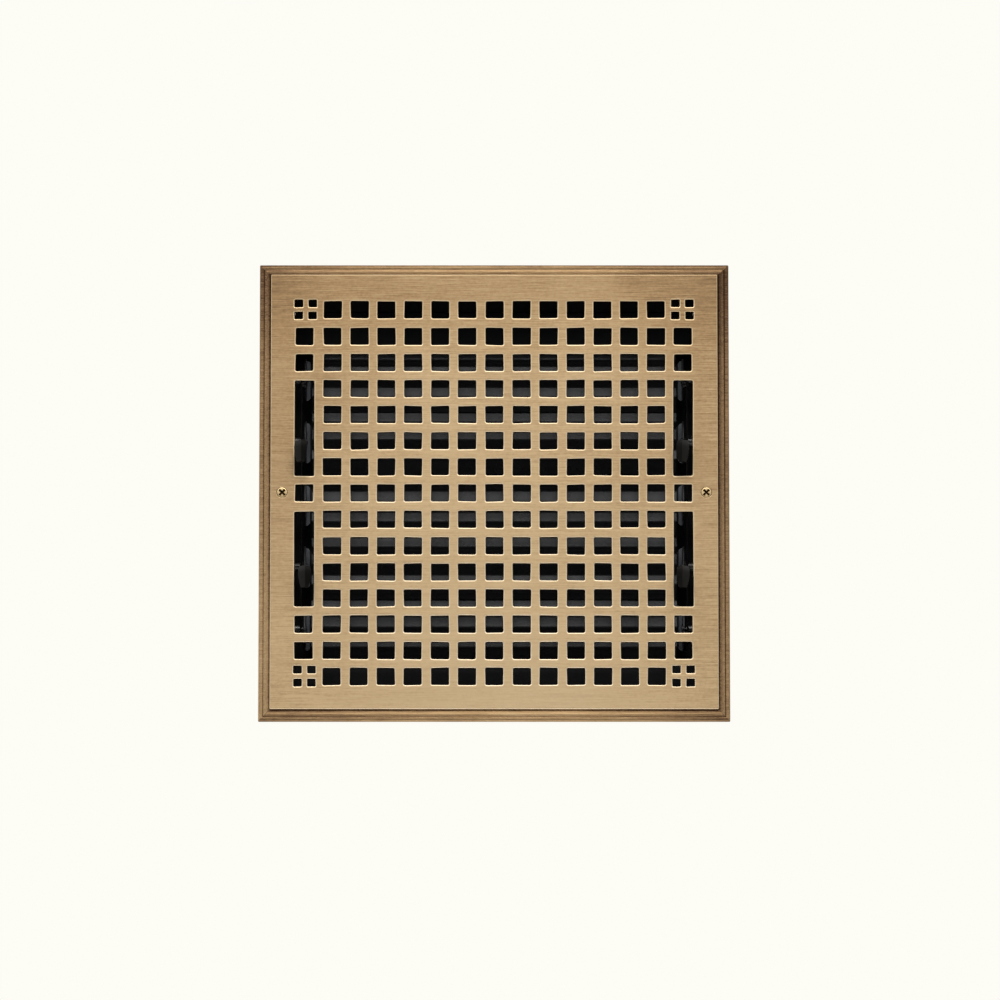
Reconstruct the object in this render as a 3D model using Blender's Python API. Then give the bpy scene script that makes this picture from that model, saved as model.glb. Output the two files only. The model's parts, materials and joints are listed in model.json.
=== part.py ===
"""Square cast-brass wall register with a ganged five-blade steel damper behind it.

Origin: centre of the register on the wall plane (back of the flange).
-Y points out of the wall into the room, +Y into the duct, +X right, +Z up.
All lengths below are in millimetres; meshes are scaled to metres when they are made.
"""
import math

import bmesh
import bpy
from mathutils import Matrix, Vector

MM = 0.001

# ---- brass face casting ----
OVERALL = 349.25          # outside width and height, 13-3/4 in
FACE_H = 6.35             # front face above the wall plane
LIP_H = 2.0               # height of the outer lip
LIP_W = 3.0               # width of the outer lip
MOULD_H = 4.9             # top of the moulding inside the lip
MOULD_W = 4.6             # width of the moulding
GROOVE_W = 0.8            # groove between moulding and raised face
GROOVE_H = 4.2            # floor of that groove
RECESS_X = 152.0          # half width of the recess in the back
RECESS_Z = 160.0          # half height of the recess in the back
RECESS_D = 2.85           # depth of the recess from the wall plane
HOLES = 15                # holes per row and per column
PITCH = 20.1              # lattice pitch
HOLE = 13.0               # square hole
SMALL_HOLE = 6.0          # one hole of a corner group of four
SMALL_OFFSET = 5.0        # its centre from the group's centre
SLOT_LO = 13.6            # inner end of a lever slot from the middle
SLOT_HI = 86.9            # outer end of a lever slot

# ---- mounting screws ----
SCREW_X = 157.5
SCREW_HEAD_R = 3.75
SCREW_SHANK_R = 2.0
SCREW_HEAD_D = 2.5
SCREW_TIP_Y = 19.0
SINK_R = 4.05
SINK_HOLE_R = 2.45

# ---- damper frame ----
SHEET = 1.0
FRAME_FRONT = -2.5        # front edge of the side plates
FRAME_BACK = 58.5         # back edge of the side plates and rails
SIDE_X = 149.9            # outer face of the side plates
SIDE_Z = 148.4            # half height of the side plates
RETURN_W = 10.0           # inward return at the ends of a side plate
RETURN_BACK = 33.0        # where the return stops
REAR_LIP_X = 131.0        # inner edge of a side plate's rear flange, behind the blade ends
RAIL_Z = 149.8            # outer face of the rail webs
RAIL_LIP_Z = 159.2        # outer edge of the rail flanges
BAFFLE_TOP = 119.5        # free edge of the top closure baffle
BAFFLE_BOTTOM = 119.0     # free edge of the bottom one
BAFFLE_LEAN = 2.5         # how far the bottom one steps forward below its edge
STRIP_LEG = 9.0           # welded leg of a closure strip
BAFFLE_X = 148.3
FIX_X = 100.0             # damper fixing screws
FIX_Z = 154.7

# ---- blades ----
PIVOT_Y = 35.0
BLADE_PITCH = 48.0
BLADES = 5
BLADE_X = 135.9           # half length of the pressed panel
BLADE_T = 0.8
# pressed section of a blade, top edge to bottom edge, about its pivot (y, z)
BLADE_SECTION = (
    (3.8, 25.5), (3.8, 24.0), (1.2, 15.2), (2.8, 11.0), (0.3, 1.5),
    (2.3, -5.6), (0.0, -13.8), (1.6, -18.5), (1.6, -24.5),
)

# ---- linkage ----
EAR_IN = 140.3            # inner face of an ear
EAR_OUT = 141.5
EAR_H = 15.3              # half height of an ear
EAR_TAB_Y = 3.5           # front of its tab behind the blade
EAR_TAB_IN = 112.0
CRANK_R = 14.0
CRANK_DEG = 30.0          # crank below the forward direction at rest
PIN_R = 2.0
RIVET_R = 1.5
RUN_GAP = 0.10            # radial running clearance
LEVER_IN = 141.7
LEVER_OUT = 142.9
LEVER_DEG = 21.4          # lever below the forward direction at rest
LEVER_REACH = 56.0        # pivot to knob centre
LINK_IN = 143.3
LINK_OUT = 144.3
LINK_W = 8.0
KNOB_D = 9.0
LEVER_BLADES = (2, 4)
KNOB_X = {("left", 2): -143.6, ("left", 4): -140.4, ("right", 2): 139.8, ("right", 4): 139.9}
# corners of a knob from its centre: (half width, forward, up) in pairs, then (outward, forward, up) singly
KNOB_PAIRS = ((4.4, -4.5, 5.0), (4.8, -4.5, -1.0), (3.0, -4.5, -5.4), (4.6, 0.0, 8.4), (5.5, 0.2, 3.2), (3.2, 0.0, -8.4))
KNOB_RIDGE = ((-0.4, 3.3, 7.6), (-0.4, 4.5, 3.0), (-0.4, 2.2, -7.8))

SEGS = 12


def clear_scene():
    for ob in list(bpy.data.objects):
        bpy.data.objects.remove(ob, do_unlink=True)


def material(name, colour, roughness, metallic):
    mat = bpy.data.materials.get(name)
    if mat is None:
        mat = bpy.data.materials.new(name)
        mat.use_nodes = True
        shader = mat.node_tree.nodes["Principled BSDF"]
        shader.inputs["Base Color"].default_value = (*colour, 1.0)
        shader.inputs["Roughness"].default_value = roughness
        shader.inputs["Metallic"].default_value = metallic
    return mat


def antique_brass():
    return material("antique_brass", (0.47, 0.33, 0.17), 0.38, 1.0)


def screw_brass():
    return material("screw_brass", (0.52, 0.36, 0.16), 0.32, 1.0)


def black_steel():
    return material("black_steel", (0.02, 0.02, 0.022), 0.35, 0.0)


def black_blade():
    return material("black_blade", (0.022, 0.022, 0.025), 0.3, 0.0)


def black_lever():
    return material("black_lever", (0.03, 0.029, 0.028), 0.32, 0.0)


def pin_steel():
    return material("pin_steel", (0.30, 0.30, 0.31), 0.4, 1.0)


def place(axis, a, b, t):
    """Point from two in-plane coordinates and the coordinate along axis."""
    if axis == "x":
        return Vector((t, a, b))
    if axis == "y":
        return Vector((a, t, b))
    return Vector((a, b, t))


def prism(bm, outline, axis, lo, hi):
    """Straight prism: outline in the plane across axis, from lo to hi along it."""
    low = [bm.verts.new(place(axis, a, b, lo)) for a, b in outline]
    high = [bm.verts.new(place(axis, a, b, hi)) for a, b in outline]
    bm.faces.new(low)
    bm.faces.new(list(reversed(high)))
    count = len(outline)
    for i in range(count):
        j = (i + 1) % count
        bm.faces.new((low[i], high[i], high[j], low[j]))


def turned(bm, profile, axis, centre, segs=SEGS):
    """Turned solid about axis; profile is (radius, position) and starts and ends at radius 0."""
    rings = []
    for radius, t in profile:
        if radius == 0.0:
            rings.append([bm.verts.new(place(axis, centre[0], centre[1], t))])
            continue
        ring = []
        for k in range(segs):
            ang = 2.0 * math.pi * (k + 0.5) / segs
            a = centre[0] + radius * math.cos(ang)
            b = centre[1] + radius * math.sin(ang)
            ring.append(bm.verts.new(place(axis, a, b, t)))
        rings.append(ring)
    for low, high in zip(rings, rings[1:]):
        for k in range(segs):
            n = (k + 1) % segs
            if len(low) == 1:
                bm.faces.new((low[0], high[k], high[n]))
            elif len(high) == 1:
                bm.faces.new((low[k], high[0], low[n]))
            else:
                bm.faces.new((low[k], high[k], high[n], low[n]))


def finish(name, bm, mat, origin=(0.0, 0.0, 0.0), smooth=False):
    """Turn a millimetre mesh into a named object in metres with its origin on its own axis."""
    bmesh.ops.recalc_face_normals(bm, faces=bm.faces[:])
    shift = Matrix.Translation(-Vector(origin))
    bmesh.ops.transform(bm, matrix=Matrix.Scale(MM, 4) @ shift, verts=bm.verts[:])
    mesh = bpy.data.meshes.new(name)
    bm.to_mesh(mesh)
    bm.free()
    ob = bpy.data.objects.new(name, mesh)
    bpy.context.scene.collection.objects.link(ob)
    ob.location = Vector(origin) * MM
    mesh.materials.append(mat)
    if smooth:
        mesh.shade_smooth()
        mesh.set_sharp_from_angle(angle=math.radians(35))
    return ob


def combine(ob, cutter_bm, operation="DIFFERENCE"):
    """Exact boolean of ob with a millimetre mesh in the same frame."""
    cutter = finish("cutter", cutter_bm, ob.data.materials[0])
    bpy.context.view_layer.update()
    mod = ob.modifiers.new("cut", "BOOLEAN")
    mod.operation = operation
    mod.solver = "EXACT"
    mod.object = cutter
    graph = bpy.context.evaluated_depsgraph_get()
    mesh = bpy.data.meshes.new_from_object(ob.evaluated_get(graph))
    old = ob.data
    ob.modifiers.remove(mod)
    ob.data = mesh
    mesh.name = ob.name
    bpy.data.meshes.remove(old)
    bpy.data.objects.remove(cutter, do_unlink=True)


def offset_polyline(points, distance):
    """Copy of an open polyline moved sideways by distance, mitred at its bends."""
    out = []
    for i, point in enumerate(points):
        here = Vector(point)
        before = here - Vector(points[i - 1]) if i > 0 else None
        after = Vector(points[i + 1]) - here if i < len(points) - 1 else None
        dirs = [d.normalized() for d in (before, after) if d is not None]
        normals = [Vector((-d.y, d.x)) for d in dirs]
        mean = sum(normals, Vector((0.0, 0.0))).normalized()
        out.append(tuple(here + mean * (distance / mean.dot(normals[0]))))
    return out


def sheet_section(points, thickness):
    """Closed outline of a bent sheet along a centre line."""
    one = offset_polyline(points, thickness / 2.0)
    two = offset_polyline(points, -thickness / 2.0)
    return one + list(reversed(two))


def hole_centres():
    half = HOLES // 2
    return [PITCH * i for i in range(-half, half + 1)]


def is_open(x, z):
    """True where the lattice is open, leaving the corner groups to be cut later."""
    reach = PITCH * (HOLES // 2)
    side = abs(abs(x) - reach) < HOLE / 2.0
    if side and SLOT_LO < abs(z) < SLOT_HI:
        return True
    in_x = min(abs(x - c) for c in hole_centres()) < HOLE / 2.0
    in_z = min(abs(z - c) for c in hole_centres()) < HOLE / 2.0
    corner = side and abs(abs(z) - reach) < HOLE / 2.0
    return in_x and in_z and not corner


def grid_lines(recess, with_slots):
    edges = set()
    for c in hole_centres():
        edges.add(round(c - HOLE / 2.0, 4))
        edges.add(round(c + HOLE / 2.0, 4))
    if with_slots:
        for end in (SLOT_LO, SLOT_HI):
            edges.add(end)
            edges.add(-end)
    edges.add(recess)
    edges.add(-recess)
    return sorted(edges)


def lattice_faces(bm, xs, zs, cache):
    """Front and recessed back of the lattice with the walls of its holes."""
    front = -FACE_H
    back = -RECESS_D

    def vert(x, y, z):
        key = (round(x, 4), round(y, 4), round(z, 4))
        if key not in cache:
            cache[key] = bm.verts.new(key)
        return cache[key]

    open_cells = set()
    for i in range(len(xs) - 1):
        for j in range(len(zs) - 1):
            if is_open((xs[i] + xs[i + 1]) / 2.0, (zs[j] + zs[j + 1]) / 2.0):
                open_cells.add((i, j))
    for i in range(len(xs) - 1):
        for j in range(len(zs) - 1):
            if (i, j) in open_cells:
                continue
            corners = ((xs[i], zs[j]), (xs[i + 1], zs[j]), (xs[i + 1], zs[j + 1]), (xs[i], zs[j + 1]))
            bm.faces.new([vert(x, front, z) for x, z in corners])
            bm.faces.new([vert(x, back, z) for x, z in reversed(corners)])
    for i, j in open_cells:
        sides = (
            ((i - 1, j), (xs[i], zs[j + 1]), (xs[i], zs[j])),
            ((i + 1, j), (xs[i + 1], zs[j]), (xs[i + 1], zs[j + 1])),
            ((i, j - 1), (xs[i], zs[j]), (xs[i + 1], zs[j])),
            ((i, j + 1), (xs[i + 1], zs[j + 1]), (xs[i], zs[j + 1])),
        )
        for other, a, b in sides:
            if other not in open_cells:
                ring = (vert(a[0], front, a[1]), vert(b[0], front, b[1]))
                ring += (vert(b[0], back, b[1]), vert(a[0], back, a[1]))
                bm.faces.new(ring)
    return vert


def border_rings(bm, vert, xs, zs):
    """Rim, moulded border, back face and recess walls, as rings round the lattice."""
    def loop(points_x, points_z, y):
        low_x, high_x = points_x[0], points_x[-1]
        low_z, high_z = points_z[0], points_z[-1]
        ring = [vert(x, y, low_z) for x in points_x]
        ring += [vert(high_x, y, z) for z in points_z[1:]]
        ring += [vert(x, y, high_z) for x in reversed(points_x[:-1])]
        ring += [vert(low_x, y, z) for z in reversed(points_z[1:-1])]
        return ring

    def bridge(one, two):
        count = len(one)
        for k in range(count):
            n = (k + 1) % count
            bm.faces.new((one[k], one[n], two[n], two[k]))

    def square(half, height):
        return [vert(sx * half, -height, sz * half) for sx, sz in ((-1, -1), (1, -1), (1, 1), (-1, 1))]

    half = OVERALL / 2.0
    face_half = half - LIP_W - MOULD_W - GROOVE_W
    front_loop = loop(xs, zs, -FACE_H)
    floor_loop = loop(xs, zs, -RECESS_D)
    rim_loop = loop(xs, zs, 0.0)
    bridge(floor_loop, rim_loop)
    corner_at = {0: 0, 1: len(xs) - 1, 2: len(xs) + len(zs) - 2, 3: 2 * len(xs) + len(zs) - 3}
    profile = (
        (face_half, FACE_H), (face_half, GROOVE_H), (face_half + GROOVE_W, GROOVE_H),
        (face_half + GROOVE_W, MOULD_H), (half - LIP_W - 1.6, 3.9), (half - LIP_W, LIP_H - 0.5),
        (half - LIP_W + 0.4, LIP_H), (half, LIP_H - 0.3), (half, 0.0),
    )
    rings = [square(h, height) for h, height in profile]
    for one, two in zip(rings, rings[1:]):
        bridge(one, two)

    def fan(inner, outer):
        """Four trapezoids between a subdivided loop and a plain square."""
        total = len(inner)
        for side in range(4):
            start = corner_at[side]
            stop = corner_at[(side + 1) % 4] if side < 3 else total
            run = [inner[k % total] for k in range(start, stop + 1)]
            bm.faces.new(run + [outer[(side + 1) % 4], outer[side]])

    fan(front_loop, rings[0])
    fan(rim_loop, rings[-1])


def face_grille():
    bm = bmesh.new()
    xs = grid_lines(RECESS_X, False)
    zs = grid_lines(RECESS_Z, True)
    vert = lattice_faces(bm, xs, zs, {})
    border_rings(bm, vert, xs, zs)
    ob = finish("face_grille", bm, antique_brass())
    cut = bmesh.new()
    reach = PITCH * (HOLES // 2)
    half = SMALL_HOLE / 2.0
    for sx in (-1, 1):
        for sz in (-1, 1):
            for ox in (-SMALL_OFFSET, SMALL_OFFSET):
                for oz in (-SMALL_OFFSET, SMALL_OFFSET):
                    cx = sx * reach + ox
                    cz = sz * reach + oz
                    outline = ((cx - half, cz - half), (cx + half, cz - half))
                    outline += ((cx + half, cz + half), (cx - half, cz + half))
                    prism(cut, outline, "y", -FACE_H - 1.0, -RECESS_D + 1.0)
            turned(cut, ((0.0, -5.6), (RIVET_R + 0.1, -5.6), (RIVET_R + 0.1, 1.0), (0.0, 1.0)),
                   "y", (sx * FIX_X, sz * FIX_Z), 12)
        deep = -FACE_H + SCREW_HEAD_D
        sink = ((0.0, -FACE_H - 1.0), (SINK_R, -FACE_H - 1.0), (SINK_R, -FACE_H))
        sink += ((SINK_HOLE_R, deep), (SINK_HOLE_R, 1.0), (0.0, 1.0))
        turned(cut, sink, "y", (sx * SCREW_X, 0.0), 24)
    combine(ob, cut)
    return ob


def cross_cutter(x, tip, mouth, width, arm, turn):
    """Two crossed tapered wedges for a cross recess, turned about the screw's axis."""
    parts = []
    for quarter in (0.0, 90.0):
        bm = bmesh.new()
        outline = ((-arm, mouth - 0.4), (arm, mouth - 0.4), (arm, mouth), (arm * 0.45, tip))
        outline += ((-arm * 0.45, tip), (-arm, mouth))
        prism(bm, outline, "z", -width / 2.0, width / 2.0)
        turn_mat = Matrix.Rotation(math.radians(turn + quarter), 4, "Y")
        bmesh.ops.transform(bm, matrix=Matrix.Translation((x, 0.0, 0.0)) @ turn_mat, verts=bm.verts[:])
        bmesh.ops.recalc_face_normals(bm, faces=bm.faces[:])
        parts.append(bm)
    return parts


def mounting_screw(side, sx):
    bm = bmesh.new()
    face = -FACE_H + 0.05
    profile = (
        (0.0, face - 0.15), (2.2, face - 0.1), (SCREW_HEAD_R, face), (SCREW_SHANK_R, face + SCREW_HEAD_D - 0.2),
        (SCREW_SHANK_R, 12.0), (1.3, 16.0), (0.3, SCREW_TIP_Y), (0.0, SCREW_TIP_Y),
    )
    turned(bm, profile, "y", (sx * SCREW_X, 0.0), 24)
    origin = (sx * SCREW_X, 0.0, 0.0)
    ob = finish("mounting_screw_" + side, bm, screw_brass(), origin, True)
    for part in cross_cutter(sx * SCREW_X, face + 1.5, face - 0.3, 0.75, 2.45, 45.0):
        combine(ob, part)
    return ob


def side_plate(side, sx):
    """Side plate: a web along the duct, a rear flange behind the blade ends and short end returns."""
    out = sx * SIDE_X
    inner = sx * (SIDE_X - SHEET)
    lip = sx * (SIDE_X - RETURN_W)
    rear = sx * REAR_LIP_X
    rear_y = FRAME_BACK - SHEET
    outline = (
        (out, FRAME_FRONT), (out, FRAME_BACK), (rear, FRAME_BACK), (rear, rear_y), (inner, rear_y), (inner, FRAME_FRONT),
    )
    bm = bmesh.new()
    prism(bm, outline, "z", -SIDE_Z, SIDE_Z)
    ob = finish("damper_side_" + side, bm, black_steel())
    returns = bmesh.new()
    root = sx * (SIDE_X - SHEET / 2.0)
    for sz in (-1, 1):
        end, under = sz * SIDE_Z, sz * (SIDE_Z - SHEET)
        prism(returns, ((lip, under), (root, under), (root, end), (lip, end)), "y", FRAME_FRONT, RETURN_BACK)
    combine(ob, returns, "UNION")
    cut = bmesh.new()
    for index in range(1, BLADES + 1):
        r = PIN_R + RUN_GAP
        lo, hi = sorted((inner - sx * 1.0, out + sx * 1.0))
        turned(cut, ((0.0, lo), (r, lo), (r, hi), (0.0, hi)), "x", (PIVOT_Y, blade_z(index)))
    combine(ob, cut)
    return ob


def rail(name, sz):
    """Top or bottom rail: outward front flange and a web along the duct."""
    half = SHEET / 2.0
    web = sz * (RAIL_Z - half)
    flange_y = -RECESS_D + 0.3 + half
    points = ((flange_y, sz * RAIL_LIP_Z), (flange_y, web), (FRAME_BACK, web))
    bm = bmesh.new()
    prism(bm, sheet_section(points, SHEET), "x", -BAFFLE_X, BAFFLE_X)
    ob = finish(name, bm, black_steel())
    cut = bmesh.new()
    for sx in (-1, 1):
        turned(cut, ((0.0, -4.0), (RIVET_R + 0.3, -4.0), (RIVET_R + 0.3, 1.0), (0.0, 1.0)),
               "y", (sx * FIX_X, sz * FIX_Z), 12)
    combine(ob, cut)
    return ob


def closure_strip(name, sz):
    """Bent strip welded under a rail's web; it closes the gap beyond the first or last blade."""
    half = SHEET / 2.0
    weld = sz * (RAIL_Z - SHEET - 0.3 - half)
    if sz > 0:
        edge = PIVOT_Y + 1.6
        points = ((edge + STRIP_LEG, weld), (edge, weld), (edge, BAFFLE_TOP))
    else:
        edge = PIVOT_Y + 2.9
        step = edge - BAFFLE_LEAN
        points = ((step + STRIP_LEG, weld), (step, weld), (step, -BAFFLE_BOTTOM - 10.0), (edge, -BAFFLE_BOTTOM))
    bm = bmesh.new()
    prism(bm, sheet_section(points, SHEET), "x", -BAFFLE_X, BAFFLE_X)
    return finish(name, bm, black_steel())


def fixing_screw(name, sx, sz):
    bm = bmesh.new()
    seat = -RECESS_D + 0.3 + SHEET + 0.05
    profile = ((0.0, -5.3), (1.35, -5.3), (1.35, seat), (2.9, seat), (2.9, -0.55), (2.2, -0.15), (0.0, -0.1))
    turned(bm, profile, "y", (sx * FIX_X, sz * FIX_Z), 16)
    ob = finish(name, bm, pin_steel(), (sx * FIX_X, 0.0, sz * FIX_Z), True)
    cut = bmesh.new()
    cx = sx * FIX_X
    cz = sz * FIX_Z
    outline = ((cx - 3.2, cz - 0.4), (cx + 3.2, cz - 0.4), (cx + 3.2, cz + 0.4), (cx - 3.2, cz + 0.4))
    prism(cut, outline, "y", -0.6, 0.5)
    combine(ob, cut)
    return ob


def blade_z(index):
    """Height of a pivot; blade 1 is at the top."""
    return BLADE_PITCH * ((BLADES + 1) / 2.0 - index)


def blade(index):
    z = blade_z(index)
    bm = bmesh.new()
    section = sheet_section(BLADE_SECTION, BLADE_T)
    prism(bm, [(PIVOT_Y + y, z + dz) for y, dz in section], "x", -BLADE_X, BLADE_X)
    return finish("blade_%d" % index, bm, black_blade(), (0.0, PIVOT_Y, z))


def crank_point():
    """Crank rivet about the pivot (y, z) at rest."""
    ang = math.radians(CRANK_DEG)
    return (-CRANK_R * math.cos(ang), -CRANK_R * math.sin(ang))


def ear(side, sx, index):
    """Bracket on a blade's end: tab behind the panel and a forward plate with the crank."""
    z = blade_z(index)
    bm = bmesh.new()
    tab = (
        (EAR_TAB_IN, -EAR_H + 3.0), (EAR_TAB_IN, EAR_H - 3.0), (EAR_TAB_IN + 3.0, EAR_H),
        (137.6, EAR_H - 1.2), (138.4, EAR_H - 0.3), (EAR_OUT, EAR_H),
        (EAR_OUT, -EAR_H), (138.4, -EAR_H + 0.3), (137.6, -EAR_H + 1.2), (EAR_TAB_IN + 3.0, -EAR_H),
    )
    front = PIVOT_Y + EAR_TAB_Y
    prism(bm, [(sx * a, z + b) for a, b in tab], "y", front, front + SHEET)
    ob = finish("ear_%s_%d" % (side, index), bm, black_steel(), (0.0, PIVOT_Y, z))
    crank = crank_point()
    outline = [(EAR_TAB_Y + SHEET, EAR_H), (-3.0, EAR_H), (-6.5, EAR_H - 3.5)]
    for k in range(5):
        ang = math.radians(120.0 + 45.0 * k)
        outline.append((crank[0] + 4.4 * math.cos(ang), crank[1] + 4.4 * math.sin(ang)))
    outline += [(-3.0, -EAR_H), (EAR_TAB_Y + SHEET, -EAR_H)]
    plate = bmesh.new()
    low, high = sorted((sx * EAR_IN, sx * EAR_OUT))
    prism(plate, [(PIVOT_Y + a, z + b) for a, b in outline], "x", low, high)
    combine(ob, plate, "UNION")
    cut = bmesh.new()
    for (cy, cz), r, segs in (((0.0, 0.0), PIN_R + 0.04, SEGS), (crank, RIVET_R + 0.04, 10)):
        turned(cut, ((0.0, low - 1.0), (r, low - 1.0), (r, high + 1.0), (0.0, high + 1.0)),
               "x", (PIVOT_Y + cy, z + cz), segs)
    combine(ob, cut)
    return ob


def pivot_pin(side, sx, index):
    """Shouldered pin: head inside the ear, collar, journal through the side plate."""
    z = blade_z(index)
    bm = bmesh.new()
    profile = (
        (0.0, 139.3), (3.1, 139.3), (3.1, EAR_IN - 0.1), (PIN_R, EAR_IN - 0.1), (PIN_R, 143.3),
        (3.1, 143.3), (3.1, SIDE_X - SHEET - 0.3), (PIN_R, SIDE_X - SHEET - 0.3), (PIN_R, 151.2), (0.0, 151.2),
    )
    turned(bm, [(r, sx * t) for r, t in profile], "x", (PIVOT_Y, z))
    return finish("pivot_%s_%d" % (side, index), bm, pin_steel(), (0.0, PIVOT_Y, z), True)


def crank_rivet(side, sx, index):
    """Rivet through ear and link bar; it has a shoulder where no lever is clamped."""
    z = blade_z(index)
    crank = crank_point()
    spacer = RIVET_R if index in LEVER_BLADES else 2.6
    bm = bmesh.new()
    profile = (
        (0.0, 139.5), (2.6, 139.5), (2.6, EAR_IN - 0.1), (RIVET_R, EAR_IN - 0.1),
        (RIVET_R, EAR_OUT + 0.1), (spacer, EAR_OUT + 0.1), (spacer, LEVER_OUT + 0.1), (RIVET_R, LEVER_OUT + 0.1),
        (RIVET_R, LINK_OUT + 0.25), (2.6, LINK_OUT + 0.25), (2.6, 145.3), (0.0, 145.3),
    )
    if spacer == RIVET_R:
        profile = profile[:4] + profile[8:]
    turned(bm, [(r, sx * t) for r, t in profile], "x", (PIVOT_Y + crank[0], z + crank[1]), 10)
    return finish("crank_rivet_%s_%d" % (side, index), bm, pin_steel(), (0.0, PIVOT_Y, z), True)


def link_bar(side, sx):
    crank = crank_point()
    y = PIVOT_Y + crank[0]
    top = blade_z(1) + crank[1] + 7.0
    bottom = blade_z(BLADES) + crank[1] - 7.0
    half = LINK_W / 2.0
    outline = ((y - half, bottom + 2.0), (y - half + 2.0, bottom), (y + half - 2.0, bottom), (y + half, bottom + 2.0))
    outline += ((y + half, top - 2.0), (y + half - 2.0, top), (y - half + 2.0, top), (y - half, top - 2.0))
    low, high = sorted((sx * LINK_IN, sx * LINK_OUT))
    bm = bmesh.new()
    prism(bm, outline, "x", low, high)
    driver = LEVER_BLADES[0]
    origin = (0.0, y, blade_z(driver) + crank[1])
    ob = finish("link_bar_" + side, bm, black_lever(), origin)
    cut = bmesh.new()
    for index in range(1, BLADES + 1):
        r = RIVET_R + RUN_GAP
        turned(cut, ((0.0, low - 1.0), (r, low - 1.0), (r, high + 1.0), (0.0, high + 1.0)),
               "x", (y, blade_z(index) + crank[1]), 10)
    combine(ob, cut)
    return ob


def lever_frame(index):
    """Unit vectors (y, z) along and across the lever at rest, and its pivot."""
    ang = math.radians(LEVER_DEG)
    along = Vector((-math.cos(ang), -math.sin(ang)))
    across = Vector((-along.y, along.x))
    return along, across, Vector((PIVOT_Y, blade_z(index)))


def lever(side, sx, index):
    """Flat arm: round hub, straight bar, joggle to the knob's plane, tongue in the knob."""
    along, across, pivot = lever_frame(index)
    z = blade_z(index)
    tongue = KNOB_X[(side, index)] - sx * (LEVER_IN + LEVER_OUT) / 2.0
    stations = (
        (-5.0, 2.6, 0.0), (-3.6, 4.6, 0.0), (0.0, 5.8, 0.0), (6.0, 5.4, 0.0), (16.0, 5.2, 0.0),
        (22.0, 4.0, 0.0), (28.0, 4.0, 0.0), (36.0, 4.0, tongue), (50.8, 3.6, tongue),
    )
    bm = bmesh.new()
    rings = []
    for s, half, shift in stations:
        ring = []
        for face in (LEVER_IN, LEVER_OUT):
            for edge in (-half, half):
                p = pivot + along * s + across * edge
                ring.append(bm.verts.new((sx * face + shift, p.x, p.y)))
        rings.append((ring[0], ring[1], ring[3], ring[2]))
    bm.faces.new(rings[0])
    bm.faces.new(tuple(reversed(rings[-1])))
    for one, two in zip(rings, rings[1:]):
        for k in range(4):
            n = (k + 1) % 4
            bm.faces.new((one[k], two[k], two[n], one[n]))
    ob = finish("lever_%s_%s" % (side, lever_level(index)), bm, black_lever(), (0.0, PIVOT_Y, z))
    cut = bmesh.new()
    low, high = sorted((sx * (LEVER_IN - 1.0), sx * (LEVER_OUT + 1.0)))
    crank = crank_point()
    for (cy, cz), r, segs in (((0.0, 0.0), PIN_R + 0.04, SEGS), (crank, RIVET_R + 0.04, 10)):
        turned(cut, ((0.0, low), (r, low), (r, high), (0.0, high)), "x", (PIVOT_Y + cy, z + cz), segs)
    combine(ob, cut)
    return ob


def lever_level(index):
    return "upper" if index == LEVER_BLADES[0] else "lower"


def hull(bm, points):
    """Closed convex solid through the points."""
    for point in points:
        bm.verts.new(point)
    made = bmesh.ops.convex_hull(bm, input=bm.verts[:])
    spare = [g for g in made["geom_interior"] + made["geom_unused"] if isinstance(g, bmesh.types.BMVert)]
    if spare:
        bmesh.ops.delete(bm, geom=list(set(spare)), context="VERTS")


def lever_knob(side, sx, index):
    """Faceted thumb piece with an upright and a level ridge, socketed on the lever's tongue."""
    along, across, pivot = lever_frame(index)
    x = KNOB_X[(side, index)]
    centre = pivot + along * LEVER_REACH
    corners = [(turn * o, f, up) for o, f, up in KNOB_PAIRS for turn in (-1, 1)]
    corners += [(sx * o, f, up) for o, f, up in KNOB_RIDGE]
    bm = bmesh.new()
    hull(bm, [(x + o, centre.x - f, centre.y + up) for o, f, up in corners])
    ob = finish("knob_%s_%s" % (side, lever_level(index)), bm, black_lever(), (0.0, PIVOT_Y, blade_z(index)))
    cut = bmesh.new()
    rings = []
    for s in (LEVER_REACH - KNOB_D, 51.1):
        ring = []
        for face in (-0.7, 0.7):
            for edge in (-3.75, 3.75):
                p = pivot + along * s + across * edge
                ring.append(cut.verts.new((x + face, p.x, p.y)))
        rings.append((ring[0], ring[1], ring[3], ring[2]))
    cut.faces.new(rings[0])
    cut.faces.new(tuple(reversed(rings[1])))
    for k in range(4):
        n = (k + 1) % 4
        cut.faces.new((rings[0][k], rings[1][k], rings[1][n], rings[0][n]))
    combine(ob, cut)
    return ob


def build():
    clear_scene()
    face_grille()
    for side, sx in (("left", -1), ("right", 1)):
        mounting_screw(side, sx)
        side_plate(side, sx)
        link_bar(side, sx)
        for index in range(1, BLADES + 1):
            ear(side, sx, index)
            pivot_pin(side, sx, index)
            crank_rivet(side, sx, index)
        for index in LEVER_BLADES:
            lever(side, sx, index)
            lever_knob(side, sx, index)
        fixing_screw("fixing_screw_%s_top" % side, sx, 1)
        fixing_screw("fixing_screw_%s_bottom" % side, sx, -1)
    rail("damper_rail_top", 1)
    rail("damper_rail_bottom", -1)
    closure_strip("closure_strip_top", 1)
    closure_strip("closure_strip_bottom", -1)
    for index in range(1, BLADES + 1):
        blade(index)


build()
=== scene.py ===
"""Square cast-brass wall register with a ganged steel damper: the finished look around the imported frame.

The register's centre on the wall plane is the origin; the face looks along -Y and +Z is up.
Meshes are made in millimetres and scaled to metres when they become objects.
"""
import json
import math
import random

import bmesh
import bpy
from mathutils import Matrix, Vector, noise


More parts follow.
